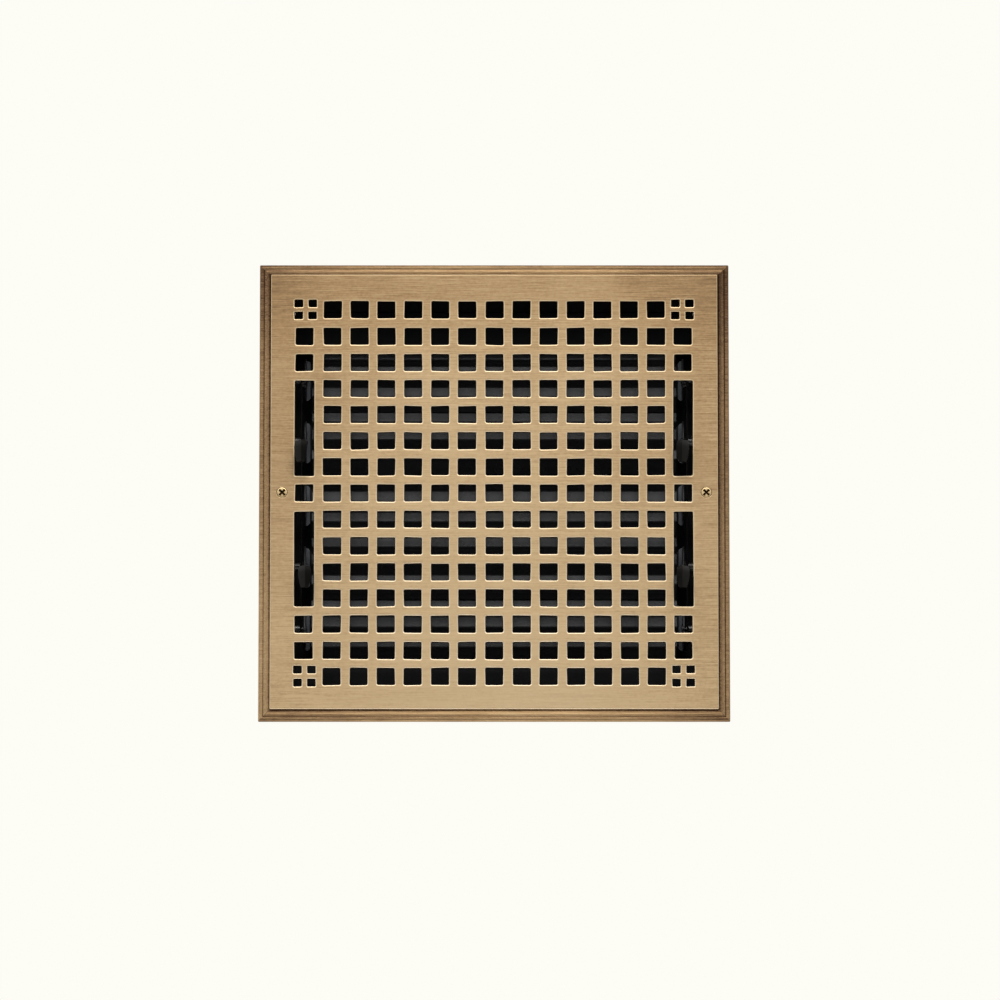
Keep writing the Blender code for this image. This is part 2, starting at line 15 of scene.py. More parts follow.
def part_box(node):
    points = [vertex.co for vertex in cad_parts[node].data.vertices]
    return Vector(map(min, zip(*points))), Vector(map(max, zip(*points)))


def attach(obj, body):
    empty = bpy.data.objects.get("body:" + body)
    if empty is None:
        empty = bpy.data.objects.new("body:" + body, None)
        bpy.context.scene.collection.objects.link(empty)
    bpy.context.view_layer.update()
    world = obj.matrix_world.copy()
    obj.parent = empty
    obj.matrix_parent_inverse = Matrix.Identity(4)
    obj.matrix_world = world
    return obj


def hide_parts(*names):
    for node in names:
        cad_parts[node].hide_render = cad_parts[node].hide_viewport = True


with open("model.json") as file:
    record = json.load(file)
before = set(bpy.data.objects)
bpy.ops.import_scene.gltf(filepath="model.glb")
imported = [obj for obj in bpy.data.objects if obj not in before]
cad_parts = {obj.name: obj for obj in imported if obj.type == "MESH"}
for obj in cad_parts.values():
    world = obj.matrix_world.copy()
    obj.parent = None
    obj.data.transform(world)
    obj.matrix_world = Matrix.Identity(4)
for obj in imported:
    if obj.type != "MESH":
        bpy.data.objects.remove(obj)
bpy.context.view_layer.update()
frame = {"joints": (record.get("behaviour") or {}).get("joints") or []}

MM = 0.001
SIDES = (("left", -1), ("right", 1))


def box_mm(node):
    low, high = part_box(node)
    return low / MM, high / MM


def joint_mm(name):
    found = [j for j in frame["joints"] if j["name"] == name][0]
    return Vector(found["pos_m"]) / MM


# ---- sizes read from the frame ----
FACE_Y = box_mm("face_grille")[0].y
SCREW_X = sum(v.x for v in box_mm("mounting_screw_right")) / 2.0
PIVOTS = {i: joint_mm("louvre_%d_turn" % i) for i in range(1, 6)}
PIVOT_Y = PIVOTS[3].y
CRANK = joint_mm("link_left_turn") - PIVOTS[2]
EAR_LOW, EAR_HIGH = box_mm("ear_right_3")
BLADE_HIGH = box_mm("blade_3")[1]
SIDE_LOW, SIDE_HIGH = box_mm("damper_side_right")
LEVER_BLADES = {2: "upper", 4: "lower"}

# ---- the casting ----
PITCH = 20.1
REACH = 7  # holes on each side of the middle one
HOLE = 6.5
SLOT_HALF, SLOT_LOW, SLOT_HIGH = 6.85, 13.6, 86.9
SMALL = 2.95
SMALL_AT = PITCH / 4.0
LATTICE = PITCH * (REACH + 0.5)
FLOOR_Y = -2.85
RECESS = (152.0, 160.0)
SEAT_Z = -1.1  # the screws sit just below the level centre line
BAY = 7.5  # half height of the part of the rim that holds a screw
LIP, FILLET_END, BEAD = 166.14, 170.3, (171.2, 173.2)  # half sizes where the border's tone changes
# moulded border, from the raised face to the back edge: (half size, y, tone); the tone paints the raised
# face's rounded edge pale, partly worn edge and partly painted highlight, and darkens the moulding towards
# the groove, partly patina and partly painted shade
BORDER = (
    (165.55, -6.35, 0.52), (165.85, -6.31, 0.85), (166.05, -6.15, 0.95), (166.12, -5.85, 0.6),
    (166.15, -5.2, 0.24), (166.3, -4.4, 0.18), (166.75, -4.3, 0.18), (167.05, -4.5, 0.2),
    (167.2, -4.7, 0.24), (167.5, -4.8, 0.3), (167.8, -4.72, 0.33), (168.15, -4.4, 0.36),
    (168.7, -3.8, 0.4), (169.3, -3.3, 0.44), (169.9, -3.0, 0.47), (170.4, -2.88, 0.46),
    (170.75, -2.8, 0.42), (170.95, -2.62, 0.28), (171.1, -2.3, 0.12), (171.3, -2.02, 0.12),
    (171.5, -2.03, 0.2), (171.7, -2.1, 0.36), (172.0, -2.16, 0.4), (172.8, -2.2, 0.42),
    (173.7, -2.15, 0.43), (174.2, -1.98, 0.46), (174.5, -1.65, 0.46), (174.62, -1.25, 0.38),
    (174.62, -0.35, 0.28), (174.5, -0.08, 0.22), (174.3, 0.0, 0.12),
)


class Shell:
    """Points in millimetres, welded by place, each with a tone, and faces between them."""

    def __init__(self):
        self.points = []
        self.tones = []
        self.faces = []
        self.plain = []
        self.places = {}

    def point(self, x, y, z, tone=0.5):
        key = (round(x, 3), round(y, 3), round(z, 3))
        if key not in self.places:
            self.places[key] = len(self.points)
            self.points.append((x, y, z))
            self.tones.append(tone)
        return self.places[key]

    def face(self, ids, plain=False):
        clean = [v for i, v in enumerate(ids) if v != ids[i - 1]]
        if len(set(clean)) > 2:
            self.faces.append(clean)
            self.plain.append(plain)

    def bridge(self, one, two, plain=False):
        count = len(one)
        for k in range(count):
            n = (k + 1) % count
            self.face((one[k], one[n], two[n], two[k]), plain)

    def loft(self, rings, plain=False):
        """Skin through a row of closed rings, open at both ends."""
        for one, two in zip(rings, rings[1:]):
            self.bridge(one, two, plain)

    def solid(self, rings, plain=False):
        """The same skin with its two ends closed."""
        self.loft(rings, plain)
        self.face(list(rings[0]), True)
        self.face(list(rings[-1]), True)

    def mesh(self, name):
        mesh = bpy.data.meshes.new(name)
        mesh.from_pydata([Vector(p) * MM for p in self.points], [], self.faces)
        mesh.attributes.new("tone", "FLOAT", "POINT").data.foreach_set("value", self.tones)
        mesh.polygons.foreach_set("use_smooth", [not p for p in self.plain])
        bm = bmesh.new()
        bm.from_mesh(mesh)
        bmesh.ops.recalc_face_normals(bm, faces=bm.faces[:])
        bm.to_mesh(mesh)
        bm.free()
        return mesh


def piece(name, mesh, body, mat, slot, *nodes):
    """A finished mesh as an object that rides on a body and stands for its CAD node."""
    ob = bpy.data.objects.new(name, mesh)
    bpy.context.scene.collection.objects.link(ob)
    ob.data.materials.clear()
    ob.data.materials.append(mat)
    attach(ob, body)
    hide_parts(*nodes)
    return ob


def baked(ob):
    """Apply the object's modifiers to its mesh."""
    graph = bpy.context.evaluated_depsgraph_get()
    mesh = bpy.data.meshes.new_from_object(ob.evaluated_get(graph))
    old = ob.data
    ob.modifiers.clear()
    ob.data = mesh
    bpy.data.meshes.remove(old)


def bevelled(ob, width, angle=50.0):
    """Round the edges sharper than angle."""
    mod = ob.modifiers.new("edges", "BEVEL")
    mod.width = width * MM
    mod.segments = 2
    mod.limit_method = "ANGLE"
    mod.angle_limit = math.radians(angle)
    baked(ob)
    shaded(ob, 30)


def shaded(ob, angle):
    """Smooth shading with edges kept where faces turn by more than angle."""
    ob.data.polygons.foreach_set("use_smooth", [True] * len(ob.data.polygons))
    sharpened(ob.data, angle)


def sharpened(mesh, angle):
    mesh.set_sharp_from_angle(angle=math.radians(angle))


# ---- materials ----

def graph_of(name, rough, metal, colour):
    mat = bpy.data.materials.new(name)
    mat.use_nodes = True
    shader = mat.node_tree.nodes["Principled BSDF"]
    shader.inputs["Base Color"].default_value = (*colour, 1.0)
    shader.inputs["Roughness"].default_value = rough
    shader.inputs["Metallic"].default_value = metal
    return mat, mat.node_tree, shader


def node(tree, kind, **settings):
    made = tree.nodes.new(kind)
    for key, value in settings.items():
        if hasattr(made, key):
            setattr(made, key, value)
        else:
            made.inputs[key].default_value = value
    return made


def noise_at(tree, scale, size=(1.0, 1.0, 1.0), detail=3.0, roughness=0.55, shift=0.0):
    """Noise in object space; size stretches it along each axis."""
    coord = node(tree, "ShaderNodeTexCoord")
    place = node(tree, "ShaderNodeMapping")
    place.inputs["Scale"].default_value = size
    place.inputs["Location"].default_value = (shift, shift * 0.7, shift * 1.3)
    tex = node(tree, "ShaderNodeTexNoise", Scale=scale, Detail=detail, Roughness=roughness)
    tree.links.new(coord.outputs["Object"], place.inputs["Vector"])
    tree.links.new(place.outputs["Vector"], tex.inputs["Vector"])
    return tex.outputs["Fac"]


def mathed(tree, operation, a, b, clamp=False):
    made = node(tree, "ShaderNodeMath", operation=operation, use_clamp=clamp)
    for index, value in enumerate((a, b)):
        if isinstance(value, (int, float)):
            made.inputs[index].default_value = value
        else:
            tree.links.new(value, made.inputs[index])
    return made.outputs[0]


def centred(tree, value, gain):
    return mathed(tree, "MULTIPLY", mathed(tree, "SUBTRACT", value, 0.5), gain)


def ramp(tree, factor, stops):
    made = node(tree, "ShaderNodeValToRGB")
    band = made.color_ramp
    while len(band.elements) < len(stops):
        band.elements.new(0.5)
    for element, (at, colour) in zip(band.elements, stops):
        element.position = at
        element.color = (*colour, 1.0)
    tree.links.new(factor, made.inputs["Fac"])
    return made.outputs["Color"]


def bumped(tree, shader, height, strength, distance):
    made = node(tree, "ShaderNodeBump", Strength=strength, Distance=distance)
    tree.links.new(height, made.inputs["Height"])
    tree.links.new(made.outputs["Normal"], shader.inputs["Normal"])


def mottled(tree, *parts):
    """The mesh's own tone with noises added, each given with its gain."""
    tone = node(tree, "ShaderNodeAttribute", attribute_name="tone").outputs["Fac"]
    for value, gain in parts:
        tone = mathed(tree, "ADD", tone, centred(tree, value, gain))
    return tone


def antique_brass():
    """Brushed antique brass: level brushing, pale edges that are partly wear and partly painted highlight,
    brown patina in the grooves and holes, and painted shade darkening the face towards its sides and top.
    """
    mat, tree, shader = graph_of("antique_brass", 0.5, 1.0, (0.5, 0.36, 0.2))
    streak = noise_at(tree, 1.0, (9.0, 500.0, 1500.0), 4.0, 0.6)
    fine = noise_at(tree, 1.0, (45.0, 3000.0, 2600.0), 2.0, 0.5, 3.1)
    cloud = noise_at(tree, 11.0, (1.0, 1.0, 1.0), 2.0, 0.5, 7.7)
    blotch = noise_at(tree, 620.0, (0.6, 1.0, 1.0), 3.0, 0.6, 1.9)
    tone = mottled(tree, (streak, 0.19), (fine, 0.36), (cloud, 0.13), (blotch, 0.17))
    place = node(tree, "ShaderNodeSeparateXYZ")
    tree.links.new(node(tree, "ShaderNodeTexCoord").outputs["Object"], place.inputs["Vector"])
    # painted shade: the face darkened towards its left and right edges and towards its top, lightest low in
    # the middle
    aside = mathed(tree, "POWER", mathed(tree, "ABSOLUTE", place.outputs["X"], 0.0), 2.0)
    light_falloff = mathed(tree, "SUBTRACT", 0.01, mathed(tree, "MULTIPLY", aside, 3.6))
    light_falloff = mathed(tree, "SUBTRACT", light_falloff, mathed(tree, "MULTIPLY", place.outputs["Z"], 0.42))
    high = mathed(tree, "MAXIMUM", mathed(tree, "SUBTRACT", place.outputs["Z"], 0.09), 0.0)
    light_falloff = mathed(tree, "SUBTRACT", light_falloff, mathed(tree, "MULTIPLY", high, 0.9))
    tone = mathed(tree, "ADD", tone, light_falloff)
    colour = ramp(tree, tone, (
        (0.0, (0.030, 0.015, 0.008)), (0.16, (0.11, 0.061, 0.032)), (0.34, (0.33, 0.213, 0.106)),
        (0.52, (0.53, 0.383, 0.214)), (0.72, (0.60, 0.462, 0.280)), (1.0, (0.72, 0.61, 0.45)),
    ))
    tree.links.new(colour, shader.inputs["Base Color"])
    rough = mathed(tree, "ADD", centred(tree, streak, 0.25), 0.52)
    rough = mathed(tree, "ADD", rough, centred(tree, blotch, 0.10), True)
    tree.links.new(rough, shader.inputs["Roughness"])
    height = mathed(tree, "ADD", mathed(tree, "MULTIPLY", streak, 0.5), mathed(tree, "MULTIPLY", fine, 0.5))
    bumped(tree, shader, height, 0.35, 0.00006)
    return mat


def screw_brass():
    """Turned brass, darker in the cross recess, with faint turning marks."""
    mat, tree, shader = graph_of("screw_brass", 0.3, 1.0, (0.5, 0.36, 0.16))
    blotch = noise_at(tree, 420.0, (1.0, 1.0, 1.0), 3.0, 0.6, 4.2)
    cloud = noise_at(tree, 90.0, (1.0, 1.0, 1.0), 2.0, 0.5, 2.2)
    tone = mottled(tree, (blotch, 0.25), (cloud, 0.2))
    colour = ramp(tree, tone, (
        (0.0, (0.04, 0.02, 0.008)), (0.3, (0.26, 0.155, 0.055)), (0.55, (0.52, 0.36, 0.16)),
        (1.0, (0.72, 0.56, 0.32)),
    ))
    tree.links.new(colour, shader.inputs["Base Color"])
    rough = mathed(tree, "ADD", centred(tree, blotch, 0.2), 0.46)
    tree.links.new(rough, shader.inputs["Roughness"])
    bumped(tree, shader, blotch, 0.2, 0.00005)
    return mat


def enamel(name, colour, rough, peel, seed, dust_and_sheen=(0.09, 0.085, 0.08), gloss=0.2):
    """Semi-gloss black enamel: slight orange peel, faint clouding, paler as painted highlight where tone is
    high and darker as painted shade where it is low.
    """
    mat, tree, shader = graph_of(name, rough, 0.0, colour)
    shader.inputs["Specular IOR Level"].default_value = gloss
    skin = noise_at(tree, peel, (1.0, 1.0, 1.0), 2.0, 0.5, seed)
    cloud = noise_at(tree, 26.0, (1.0, 1.0, 1.0), 3.0, 0.6, seed + 2.0)
    dust = noise_at(tree, 700.0, (1.0, 1.0, 1.0), 4.0, 0.7, seed + 5.0)
    fade = mottled(tree, (cloud, 0.35), (dust, 0.25))
    deep = tuple(c * 0.55 for c in colour)
    pale = tuple(c * 1.5 + 0.002 for c in colour)
    shade = ramp(tree, fade, ((0.2, deep), (0.5, colour), (0.72, pale), (1.0, dust_and_sheen)))
    tree.links.new(shade, shader.inputs["Base Color"])
    tree.links.new(mathed(tree, "ADD", centred(tree, cloud, 0.16), rough), shader.inputs["Roughness"])
    bumped(tree, shader, skin, 0.12, 0.00012)
    return mat


def dull_steel():
    """Plain pin steel with turning marks, darker in the hollows as painted shade."""
    mat, tree, shader = graph_of("pin_steel", 0.4, 1.0, (0.3, 0.3, 0.31))
    blotch = noise_at(tree, 500.0, (1.0, 1.0, 1.0), 4.0, 0.65, 9.0)
    turn = noise_at(tree, 1.0, (6000.0, 300.0, 300.0), 2.0, 0.5, 2.0)
    tone = mottled(tree, (blotch, 0.4), (turn, 0.2))
    colour = ramp(tree, tone, (
        (0.1, (0.025, 0.023, 0.022)), (0.5, (0.13, 0.127, 0.125)), (1.0, (0.30, 0.295, 0.29)),
    ))
    tree.links.new(colour, shader.inputs["Base Color"])
    tree.links.new(mathed(tree, "ADD", centred(tree, blotch, 0.3), 0.42), shader.inputs["Roughness"])
    bumped(tree, shader, turn, 0.2, 0.00004)
    return mat


BRASS = antique_brass()
SCREW = screw_brass()
BLACK_BOX = enamel("black_steel", (0.008, 0.008, 0.009), 0.36, 900.0, 1.0, (0.105, 0.115, 0.125))
BLACK_BLADE = enamel("black_blade", (0.006, 0.006, 0.0068), 0.27, 700.0, 11.0, gloss=0.165)
BLACK_LEVER = enamel("black_lever", (0.005, 0.0047, 0.004), 0.3, 1200.0, 21.0, (0.04, 0.037, 0.031), 0.08)
STEEL = dull_steel()


# ---- face casting ----

def rounded(cx, cz, hx, hz, radius, play=((0.0, 0.0),) * 4, steps=5):
    """Rounded rectangle in the face plane, counted from the middle of the low-left corner's arc."""
    out = []
    for corner, (sx, sz) in enumerate(((-1, -1), (1, -1), (1, 1), (-1, 1))):
        for k in range(steps):
            ang = math.radians(180.0 + 90.0 * corner + 90.0 * k / (steps - 1))
            x = cx + sx * (hx - radius) + radius * math.cos(ang) + play[corner][0]
            z = cz + sz * (hz - radius) + radius * math.sin(ang) + play[corner][1]
            out.append((x, z))
    middle = steps // 2
    return out[middle:] + out[:middle]


def circle(cx, cz, radius, count=40):
    """Circle counted from its low-left diagonal, in the same sense as rounded()."""
    return [(cx + radius * math.cos(math.radians(225.0 + 360.0 * k / count)),
             cz + radius * math.sin(math.radians(225.0 + 360.0 * k / count))) for k in range(count)]


def on_side(a, b, marks):
    """Marks that lie strictly between a and b on the level or upright line joining them, in order."""
    found = []
    for m in marks:
        if abs(a[0] - b[0]) < 1e-6:
            inside = abs(m[0] - a[0]) < 1e-3 and min(a[1], b[1]) + 1e-3 < m[1] < max(a[1], b[1]) - 1e-3
        else:
            inside = abs(m[1] - a[1]) < 1e-3 and min(a[0], b[0]) + 1e-3 < m[0] < max(a[0], b[0]) - 1e-3
        if inside:
            found.append(m)
    found.sort(key=lambda m: (m[0] - a[0]) ** 2 + (m[1] - a[1]) ** 2)
    return found


def pane(shell, rect, ring, y, marks, tone=0.5):
    """Flat metal between a rectangle and the ring in it, as four faces that meet on the diagonals."""
    x0, x1, z0, z1 = rect
    corners = ((x0, z0), (x1, z0), (x1, z1), (x0, z1))
    quarter = len(ring) // 4
    for k in range(4):
        a = corners[k]
        b = corners[(k + 1) % 4]
        outer = [a] + on_side(a, b, marks) + [b]
        run = [ring[i % len(ring)] for i in range(k * quarter, (k + 1) * quarter + 1)]
        ids = [shell.point(x, y, z, tone) for x, z in outer]
        ids += list(reversed(run))
        shell.face(ids, True)


# rings of a cast hole from the face to the back: (grow, y, tone); the pale tone at the rim is partly worn
# edge and partly painted highlight
HOLE_RINGS = (
    (0.95, FACE_Y, 0.5), (0.72, FACE_Y + 0.02, 0.78), (0.42, FACE_Y + 0.07, 0.9),
    (0.18, FACE_Y + 0.17, 0.88), (0.05, FACE_Y + 0.34, 0.62), (0.0, FACE_Y + 0.6, 0.2),
    (0.0, FACE_Y + 1.1, 0.08), (0.06, FLOOR_Y - 0.3, 0.06), (0.30, FLOOR_Y, 0.08),
)
# how far the hand-finished lattice strays from its regular pitch, left to right and bottom to top
COLUMN_DRIFT = (-0.5, 0.28, 0.35, 0.2, 0.0, 0.0, -0.05, 0.2, 0.3, 0.2, 0.3, 0.24, -0.08, -0.3, -0.5)
ROW_DRIFT = (-0.7, -1.1, -1.1, -1.3, -1.5, -1.75, -1.5, -1.5, -1.65, -1.7, -1.7, -1.85, -2.0, -1.95, -1.55)


def lattice_holes(draw):
    """Every hole of the lattice: its cell, centre, half sizes and corner play, slightly uneven as cast."""
    holes = []

    def add(rect, cx, cz, hx, hz, radius, play, skew):
        corners = [(draw.uniform(-skew, skew), draw.uniform(-skew, skew)) for _ in range(4)]
        holes.append((rect, cx + draw.uniform(-play, play), cz + draw.uniform(-play, play),
                      hx + draw.uniform(-play, play), hz + draw.uniform(-play, play),
                      radius * draw.uniform(0.75, 1.3), corners))

    def corner_group(cx, cz, side, level):
        """Four small holes in one cell, divided where the upper and lower pair meet."""
        shift = 0.45 if side < 0 else -0.8
        spread, lower = (5.0, -0.4) if level < 0 else (4.65, -1.3)
        split = cz + lower
        for ox in (-1, 1):
            for oz in (-1, 1):
                sx = cx + ox * SMALL_AT
                ends = (split, cz + 2 * SMALL_AT) if oz > 0 else (cz - 2 * SMALL_AT, split)
                near = 0.4 if ox * side > 0 else 1.0
                add((sx - SMALL_AT, sx + SMALL_AT) + ends, cx + ox * 5.03 + shift * near,
                    cz + oz * spread + lower, SMALL + 0.12, SMALL, 0.7, 0.06, 0.08)

    def slot(cx, dx, level):
        """Tall slot over four cells; the lower ones are a little shorter."""
        low = half if level > 0 else -4.5 * PITCH
        mid = (SLOT_LOW + SLOT_HIGH) / 2.0 * level - (2.2 if level > 0 else 1.7)
        tall = (SLOT_HIGH - SLOT_LOW) / 2.0 - (0.0 if level > 0 else 0.4)
        add((cx - half, cx + half, low, low + 4.0 * PITCH), cx + dx + 0.2, mid, SLOT_HALF + 0.35, tall,
            1.4, 0.08, 0.15)

    half = PITCH / 2.0
    for i in range(-REACH, REACH + 1):
        for j in range(-REACH, REACH + 1):
            cx, cz = i * PITCH, j * PITCH
            dx, dz = COLUMN_DRIFT[i + REACH], ROW_DRIFT[j + REACH]
            if abs(i) == REACH and abs(j) == REACH:
                corner_group(cx, cz, i, j)
            elif abs(i) == REACH and abs(j) == 1:
                slot(cx, dx, j)
            elif abs(i) != REACH or not 2 <= abs(j) <= 4:
                add((cx - half, cx + half, cz - half, cz + half), cx + dx, cz + dz, HOLE + 0.12,
                    HOLE + 0.08, 1.1, 0.1, 0.2)
    return holes


def square_loop(shell, half, y, tone, radius):
    """Loop of the border: rounded corners and two marks on each upright side, beside the screw."""
    pts = rounded(0.0, 0.0, half, half, radius)
    out = []
    count = len(pts)
    for k in range(count):
        out.append(pts[k])
        n = pts[(k + 1) % count]
        if abs(pts[k][0] - n[0]) < 1e-6 and abs(pts[k][1] - n[1]) > half:
            up = 1 if n[1] > pts[k][1] else -1
            out += [(pts[k][0], -up * BAY), (pts[k][0], up * BAY)]
    return [shell.point(x, y, z, side_light_tone(x, z, half, tone)) for x, z in out]


def side_light_tone(x, z, half, tone):
    """Tone of the border painted by side as light and shade: the top even and pale, the bottom darkest, the
    left and right sides each darkened by its own amount.
    """
    if half < LIP:
        return tone
    if abs(x) > abs(z):
        return 0.40 + (tone - 0.37) * 0.55 if x < 0 else 0.335 + (tone - 0.37) * 0.75
    if z < 0:
        return 0.265 + (tone - 0.4) * 0.55
    if half > FILLET_END:
        return 0.52 if BEAD[0] < half < BEAD[1] else 0.34
    return 0.475 + (tone - 0.4) * 0.3


def screw_seat(shell, cx, rings):
    """Countersunk hole through the rim; returns its front and back rings."""
    made = [[shell.point(x, y, z, tone) for x, z in circle(cx, SEAT_Z, r)] for r, y, tone in rings]
    shell.loft(made)
    return made[0], made[-1]


def cast_holes(shell, holes, front_marks, back_marks):
    for rect, cx, cz, hx, hz, radius, play in holes:
        rings = []
        for grow, y, tone in HOLE_RINGS:
            pts = rounded(cx, cz, hx + grow, hz + grow, radius + grow * 0.8, play)
            rings.append([shell.point(x, y, z, tone) for x, z in pts])
        shell.loft(rings)
        pane(shell, rect, rings[0], FACE_Y, front_marks)
        pane(shell, rect, rings[-1], FLOOR_Y, back_marks, 0.1)


def cast_border(shell):
    """The moulded border; returns its front and back loops."""
    edge = BORDER[0][0]
    loops = [square_loop(shell, half, y, tone, 0.5 + (half - edge) * 0.03) for half, y, tone in BORDER]
    shell.loft(loops)
    return loops[0], loops[-1]


def cast_seats(shell, inner_x, front_marks):
    """Countersunk seats of the two mounting screws and the flat metal round them."""
    # tones: the seat's rim a little paler, partly worn edge and partly painted highlight
    rings = (
        (4.5, FACE_Y, 0.5), (4.3, FACE_Y + 0.04, 0.6), (4.12, FACE_Y + 0.16, 0.5), (3.9, FACE_Y + 0.45, 0.25),
        (2.5, FACE_Y + 2.5, 0.1), (2.5, -0.3, 0.08), (2.75, 0.0, 0.1),
    )
    for _, s in SIDES:
        front_ring, back_ring = screw_seat(shell, s * SCREW_X, rings)
        x0, x1 = sorted((s * LATTICE, s * BORDER[0][0]))
        pane(shell, (x0, x1, -BAY, BAY), front_ring, FACE_Y, front_marks)
        x0, x1 = sorted((s * inner_x, s * BORDER[-1][0]))
        pane(shell, (x0, x1, -BAY, BAY), back_ring, 0.0, (), 0.1)


def casting():
    shell = Shell()
    holes = lattice_holes(random.Random(1887))
    marks = set()
    for rect, *_ in holes:
        marks |= {(x, z) for x in rect[:2] for z in rect[2:]}
    front_marks = marks | {(s * LATTICE, t * BAY) for s in (-1, 1) for t in (-1, 1)}
    cast_holes(shell, holes, front_marks, marks)
    front_loop, back_loop = cast_border(shell)
    inner_x, inner_z = RECESS[0] + 0.4, RECESS[1] + 0.4
    cast_seats(shell, inner_x, front_marks)
    rim_front(shell, corner_runs(front_loop), front_marks)
    rim_back(shell, corner_runs(back_loop), inner_x, inner_z, marks)
    piece("face_casting", shell.mesh("face_casting"), "register", BRASS, "antique_brass", "face_grille")


def corner_runs(ids):
    """The loop's points as four runs between corner middles; an upright run also holds its two marks."""
    level = 5
    upright = level + 2
    runs = []
    at = 0
    for count in (level, upright, level, upright):
        runs.append([ids[(at + k) % len(ids)] for k in range(count + 1)])
        at += count
    return runs


def rim_front(shell, runs, marks):
    """Flat rim between the lattice and the moulded border, above, below and beside the screws."""
    def inner(a, b):
        pts = [a] + on_side(a, b, marks) + [b]
        return [shell.point(x, FACE_Y, z, 0.5) for x, z in pts]

    n = LATTICE
    bottom, right, top, left = runs
    shell.face(bottom + list(reversed(inner((-n, -n), (n, -n)))), True)
    shell.face(top + list(reversed(inner((n, n), (-n, n)))), True)
    for run, s in ((right, 1), (left, -1)):
        low, high = run[:4], run[3:]
        shell.face(low + list(reversed(inner((s * n, -s * n), (s * n, -s * BAY)))), True)
        shell.face(high[1:] + list(reversed(inner((s * n, s * BAY), (s * n, s * n)))), True)


def rim_back(shell, runs, inner_x, inner_z, marks):
    """Flat back of the rim, the walls of the recess and its floor up to the lattice."""
    def recess(x, z, y, tone):
        order = [(-x, -z), (x, -z), (x, -BAY), (x, BAY), (x, z), (-x, z), (-x, BAY), (-x, -BAY)]
        return [shell.point(px, y, pz, tone) for px, pz in order]

    bottom, right, top, left = runs
    mouth = recess(inner_x, inner_z, 0.0, 0.28)
    shell.face(bottom + [mouth[1], mouth[0]], True)
    shell.face(top + [mouth[5], mouth[4]], True)
    shell.face(right[:4] + [mouth[2], mouth[1]], True)
    shell.face(right[4:] + [mouth[4], mouth[3]], True)
    shell.face(left[:4] + [mouth[6], mouth[5]], True)
    shell.face(left[4:] + [mouth[0], mouth[7]], True)
    wall = recess(RECESS[0], RECESS[1], -0.35, 0.08)
    floor = recess(RECESS[0], RECESS[1], FLOOR_Y, 0.06)
    shell.bridge(mouth, wall)
    shell.bridge(wall, floor)
    n = LATTICE

    def inner(a, b):
        pts = [a] + on_side(a, b, marks) + [b]
        return [shell.point(x, FLOOR_Y, z, 0.08) for x, z in pts]

    shell.face([floor[0], floor[1]] + list(reversed(inner((-n, -n), (n, -n)))), True)
    shell.face([floor[1], floor[2], floor[3], floor[4]] + list(reversed(inner((n, -n), (n, n)))), True)
    shell.face([floor[4], floor[5]] + list(reversed(inner((n, n), (-n, n)))), True)
    shell.face([floor[5], floor[6], floor[7], floor[0]] + list(reversed(inner((-n, n), (-n, -n)))), True)


# ---- turned pieces ----

def axis_point(axis, centre, a, b, t):
    if axis == "x":
        return (t, centre[0] + a, centre[1] + b)
    return (centre[0] + a, t, centre[1] + b)


def lathe(profile, axis, centre, segs):
    """Turned skin; profile is (radius, position, tone) along the axis, closed where the radius is 0."""
    shell = Shell()
    rings = []
    for radius, t, tone in profile:
        if radius < 1e-6:
            rings.append([shell.point(*axis_point(axis, centre, 0.0, 0.0, t), tone)] * segs)
            continue
        ring = []
        for k in range(segs):
            ang = 2.0 * math.pi * k / segs
            pos = axis_point(axis, centre, radius * math.cos(ang), radius * math.sin(ang), t)
            ring.append(shell.point(*pos, tone))
        rings.append(ring)
    shell.loft(rings)
    return shell


def joined(ob, cutter_mesh, operation="UNION"):
    """Add a mesh to the object, or cut it out."""
    cutter = bpy.data.objects.new("cutter", cutter_mesh)
    bpy.context.scene.collection.objects.link(cutter)
    bpy.context.view_layer.update()
    mod = ob.modifiers.new("cut", "BOOLEAN")
    mod.operation = operation
    mod.solver = "EXACT"
    mod.object = cutter
    baked(ob)
    bpy.data.objects.remove(cutter, do_unlink=True)


def cross_recess(x, z, mouth, depth, width, arm):
    """Cross with nearly straight walls, turned 45 degrees, to be cut out of a screw's head."""
    shell = Shell()
    turn = math.radians(45.0)
    rings = []
    for y, reach, half in ((mouth - 0.5, arm, width / 2.0), (mouth, arm, width / 2.0),
                           (mouth + depth * 0.7, arm * 0.86, width * 0.44),
                           (mouth + depth, arm * 0.5, width * 0.3)):
        ring = []
        for a, b in ((half, half), (reach, half), (reach, -half), (half, -half), (half, -reach),
                     (-half, -reach), (-half, -half), (-reach, -half), (-reach, half), (-half, half),
                     (-half, reach), (half, reach)):
            # tone 0 on the cutter, painted shade for the walls it cuts
            ring.append(shell.point(x + a * math.cos(turn) - b * math.sin(turn), y,
                                    z + a * math.sin(turn) + b * math.cos(turn), 0.0))
        rings.append(ring)
    shell.solid(rings, True)
    return shell.mesh("recess")


def shade_recess(ob, x, z, front, back, radius):
    """Painted shade in the recess: a low tone on its walls."""
    tones = ob.data.attributes["tone"].data
    for v in ob.data.vertices:
        p = v.co / MM
        if math.hypot(p.x - x, p.z - z) < radius and front < p.y < back:
            tones[v.index].value = 0.0


